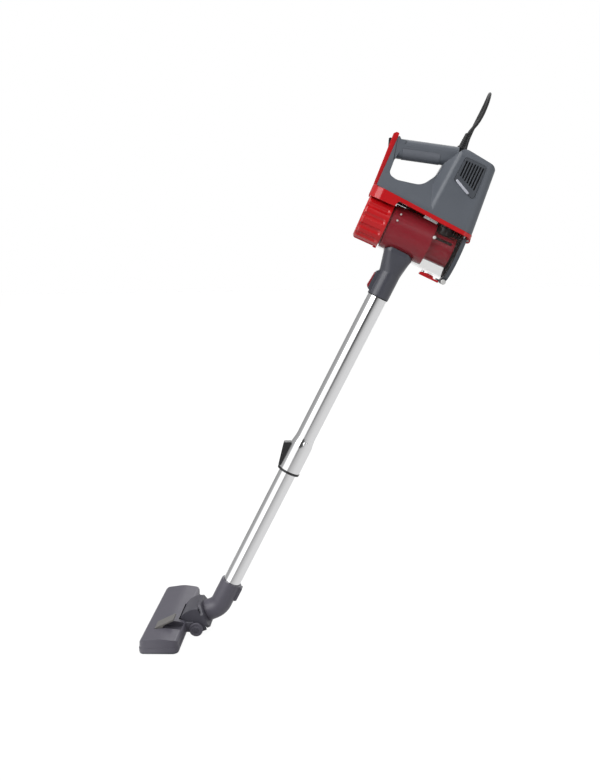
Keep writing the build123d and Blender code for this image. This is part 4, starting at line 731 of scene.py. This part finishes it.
# Hinge of the head: a plastic web on each side of the neck's drum, moulded on the cover.
# A rubber flap under the drum and a curtain in front of it keep the suction in.
WEB_LOW = (31.5, 7)
WEB_HIGH = (47, 25)
WEB_INNER = 36.6
WEB_OUTER = 42.0
FLAP_START = (13.0, 8.1)
FLAP_LONG = 26.0
FLAP_HALF = 35.5
FLAP_THICK = 1.6
FLAP_RISE = radians(5.0)
CURTAIN_LOW = (14.6, 11.2)
CURTAIN_HIGH = (16.2, 23.0)
for side in (-1, 1):
    near, far = sorted((side * WEB_INNER, side * WEB_OUTER))
    web = block("hinge_web", (WEB_LOW[0], near, WEB_LOW[1]), (WEB_HIGH[0], far, WEB_HIGH[1]), round_off=2.0)
    settle(web, drum_plastic, "head")
flap_corners = (0, -FLAP_HALF, -FLAP_THICK), (FLAP_LONG, FLAP_HALF, 0)
flap = block("dust_flap", *flap_corners, round_off=0.6, segments=2)
flap_place = move(FLAP_START[0], 0, FLAP_START[1]) @ Matrix.Rotation(-FLAP_RISE, 4, "Y")
settle(flap, black_rubber, "head", flap_place)
curtain_corners = (CURTAIN_LOW[0], -FLAP_HALF, CURTAIN_LOW[1]), (CURTAIN_HIGH[0], FLAP_HALF, CURTAIN_HIGH[1])
curtain = block("dust_curtain", *curtain_corners, round_off=0.5, segments=2)
settle(curtain, black_rubber, "head")

# Wheels: two moulded plastic wheels with a grooved tread and a dished outer face.
# They turn freely on the ends of the axle.
WHEEL_PLACE = (52.0, 45.2, 12.5)
WHEEL_PROFILE = [
    (2.8, -2.45), (11.0, -2.45), (12.1, -2.0), (12.45, -1.3), (12.45, -0.5), (12.0, -0.3), (12.0, 0.3),
    (12.45, 0.5), (12.45, 1.3), (12.1, 2.0), (11.2, 2.45), (10.0, 2.45), (9.4, 1.5), (5.8, 1.5),
    (5.2, 2.45), (2.8, 2.45),
]
for name, side in (("wheel_left", -1), ("wheel_right", 1)):
    wheel = lathe(name + "_rim", WHEEL_PROFILE, sides=64, closed=True)
    wheel_turn = Matrix.Rotation(-side * pi / 2, 4, "X")
    wheel_place = move(WHEEL_PLACE[0], side * WHEEL_PLACE[1], WHEEL_PLACE[2])
    settle(wheel, head_plastic, name, wheel_place @ wheel_turn, [name])

# Pedal: a lighter grey plastic lever on a steel axle in the cover's pocket.
# The foot presses it, and it lifts the brush strips.
pedal_plastic = grained("pedal_plastic", rgb(110, 108, 106), rough=0.42)
dress(pedal_plastic, "pedal")
dress(steel, "pedal_axle")

# Brush strips: dark nylon tufts, nine thick strands each, set along two black plastic backings.
# The backings slide up and down in slots of the sole plate.
BRUSH_ROWS = (("brush_front", -20.0), ("brush_rear", -7.0))
BRUSH_HALF = 108.0
BACK_HALF_THICK = 1.8
BACK_FOOT = 6.9
BACK_TOP = 10.4
BACK_END = 0.2
TUFTS = 60
TUFT_PITCH = 3.6
FIRST_TUFT = 1.8
STRANDS_ACROSS = (-0.9, 0.0, 0.9)
STRANDS_ALONG = (-0.8, 0.0, 0.8)
TUFT_SPREAD = 1.5
STRAND_FOOT = 0.4
STRAND_ROOT = 7.2
STRAND_TIP_RADIUS = 0.22
STRAND_ROOT_RADIUS = 0.3
bristle = grained("bristle", rgb(40, 40, 44), rough=0.6)


def tuft_strand(row, across, along):
    """One strand of the first tuft of a row, spreading a little to its tip."""
    end = -BRUSH_HALF + FIRST_TUFT
    foot = Vector((row + across * TUFT_SPREAD, end + along * TUFT_SPREAD, STRAND_FOOT)) * MM
    root = Vector((row + across, end + along, STRAND_ROOT)) * MM
    way = root - foot
    bpy.ops.mesh.primitive_cone_add(
        vertices=5, radius1=STRAND_TIP_RADIUS * MM, radius2=STRAND_ROOT_RADIUS * MM, depth=way.length,
        location=(root + foot) / 2, rotation=way.to_track_quat("Z", "Y").to_euler(),
    )
    return bpy.context.object


for name, row in BRUSH_ROWS:
    back_half = BRUSH_HALF - BACK_END
    back_low = (row - BACK_HALF_THICK, -back_half, BACK_FOOT)
    back_high = (row + BACK_HALF_THICK, back_half, BACK_TOP)
    strip = block(name + "_back", back_low, back_high, round_off=0.5, segments=2)
    settle(strip, black_plastic, "brush", stands_for=[name])
    strands = [tuft_strand(row, across, along) for across in STRANDS_ACROSS for along in STRANDS_ALONG]
    bpy.ops.object.select_all(action="DESELECT")
    for piece in strands:
        piece.select_set(True)
    tuft = strands[0]
    tuft.name = name + "_tufts"
    bpy.context.view_layer.objects.active = tuft
    bpy.ops.object.join()
    bpy.ops.object.transform_apply(location=True, rotation=True, scale=True)
    rows = tuft.modifiers.new("tufts", "ARRAY")
    rows.count = TUFTS
    rows.use_relative_offset = False
    rows.use_constant_offset = True
    rows.constant_offset_displace = (0, TUFT_PITCH * MM, 0)
    bpy.ops.object.modifier_apply(modifier="tufts")
    settle(tuft, bristle, "brush")
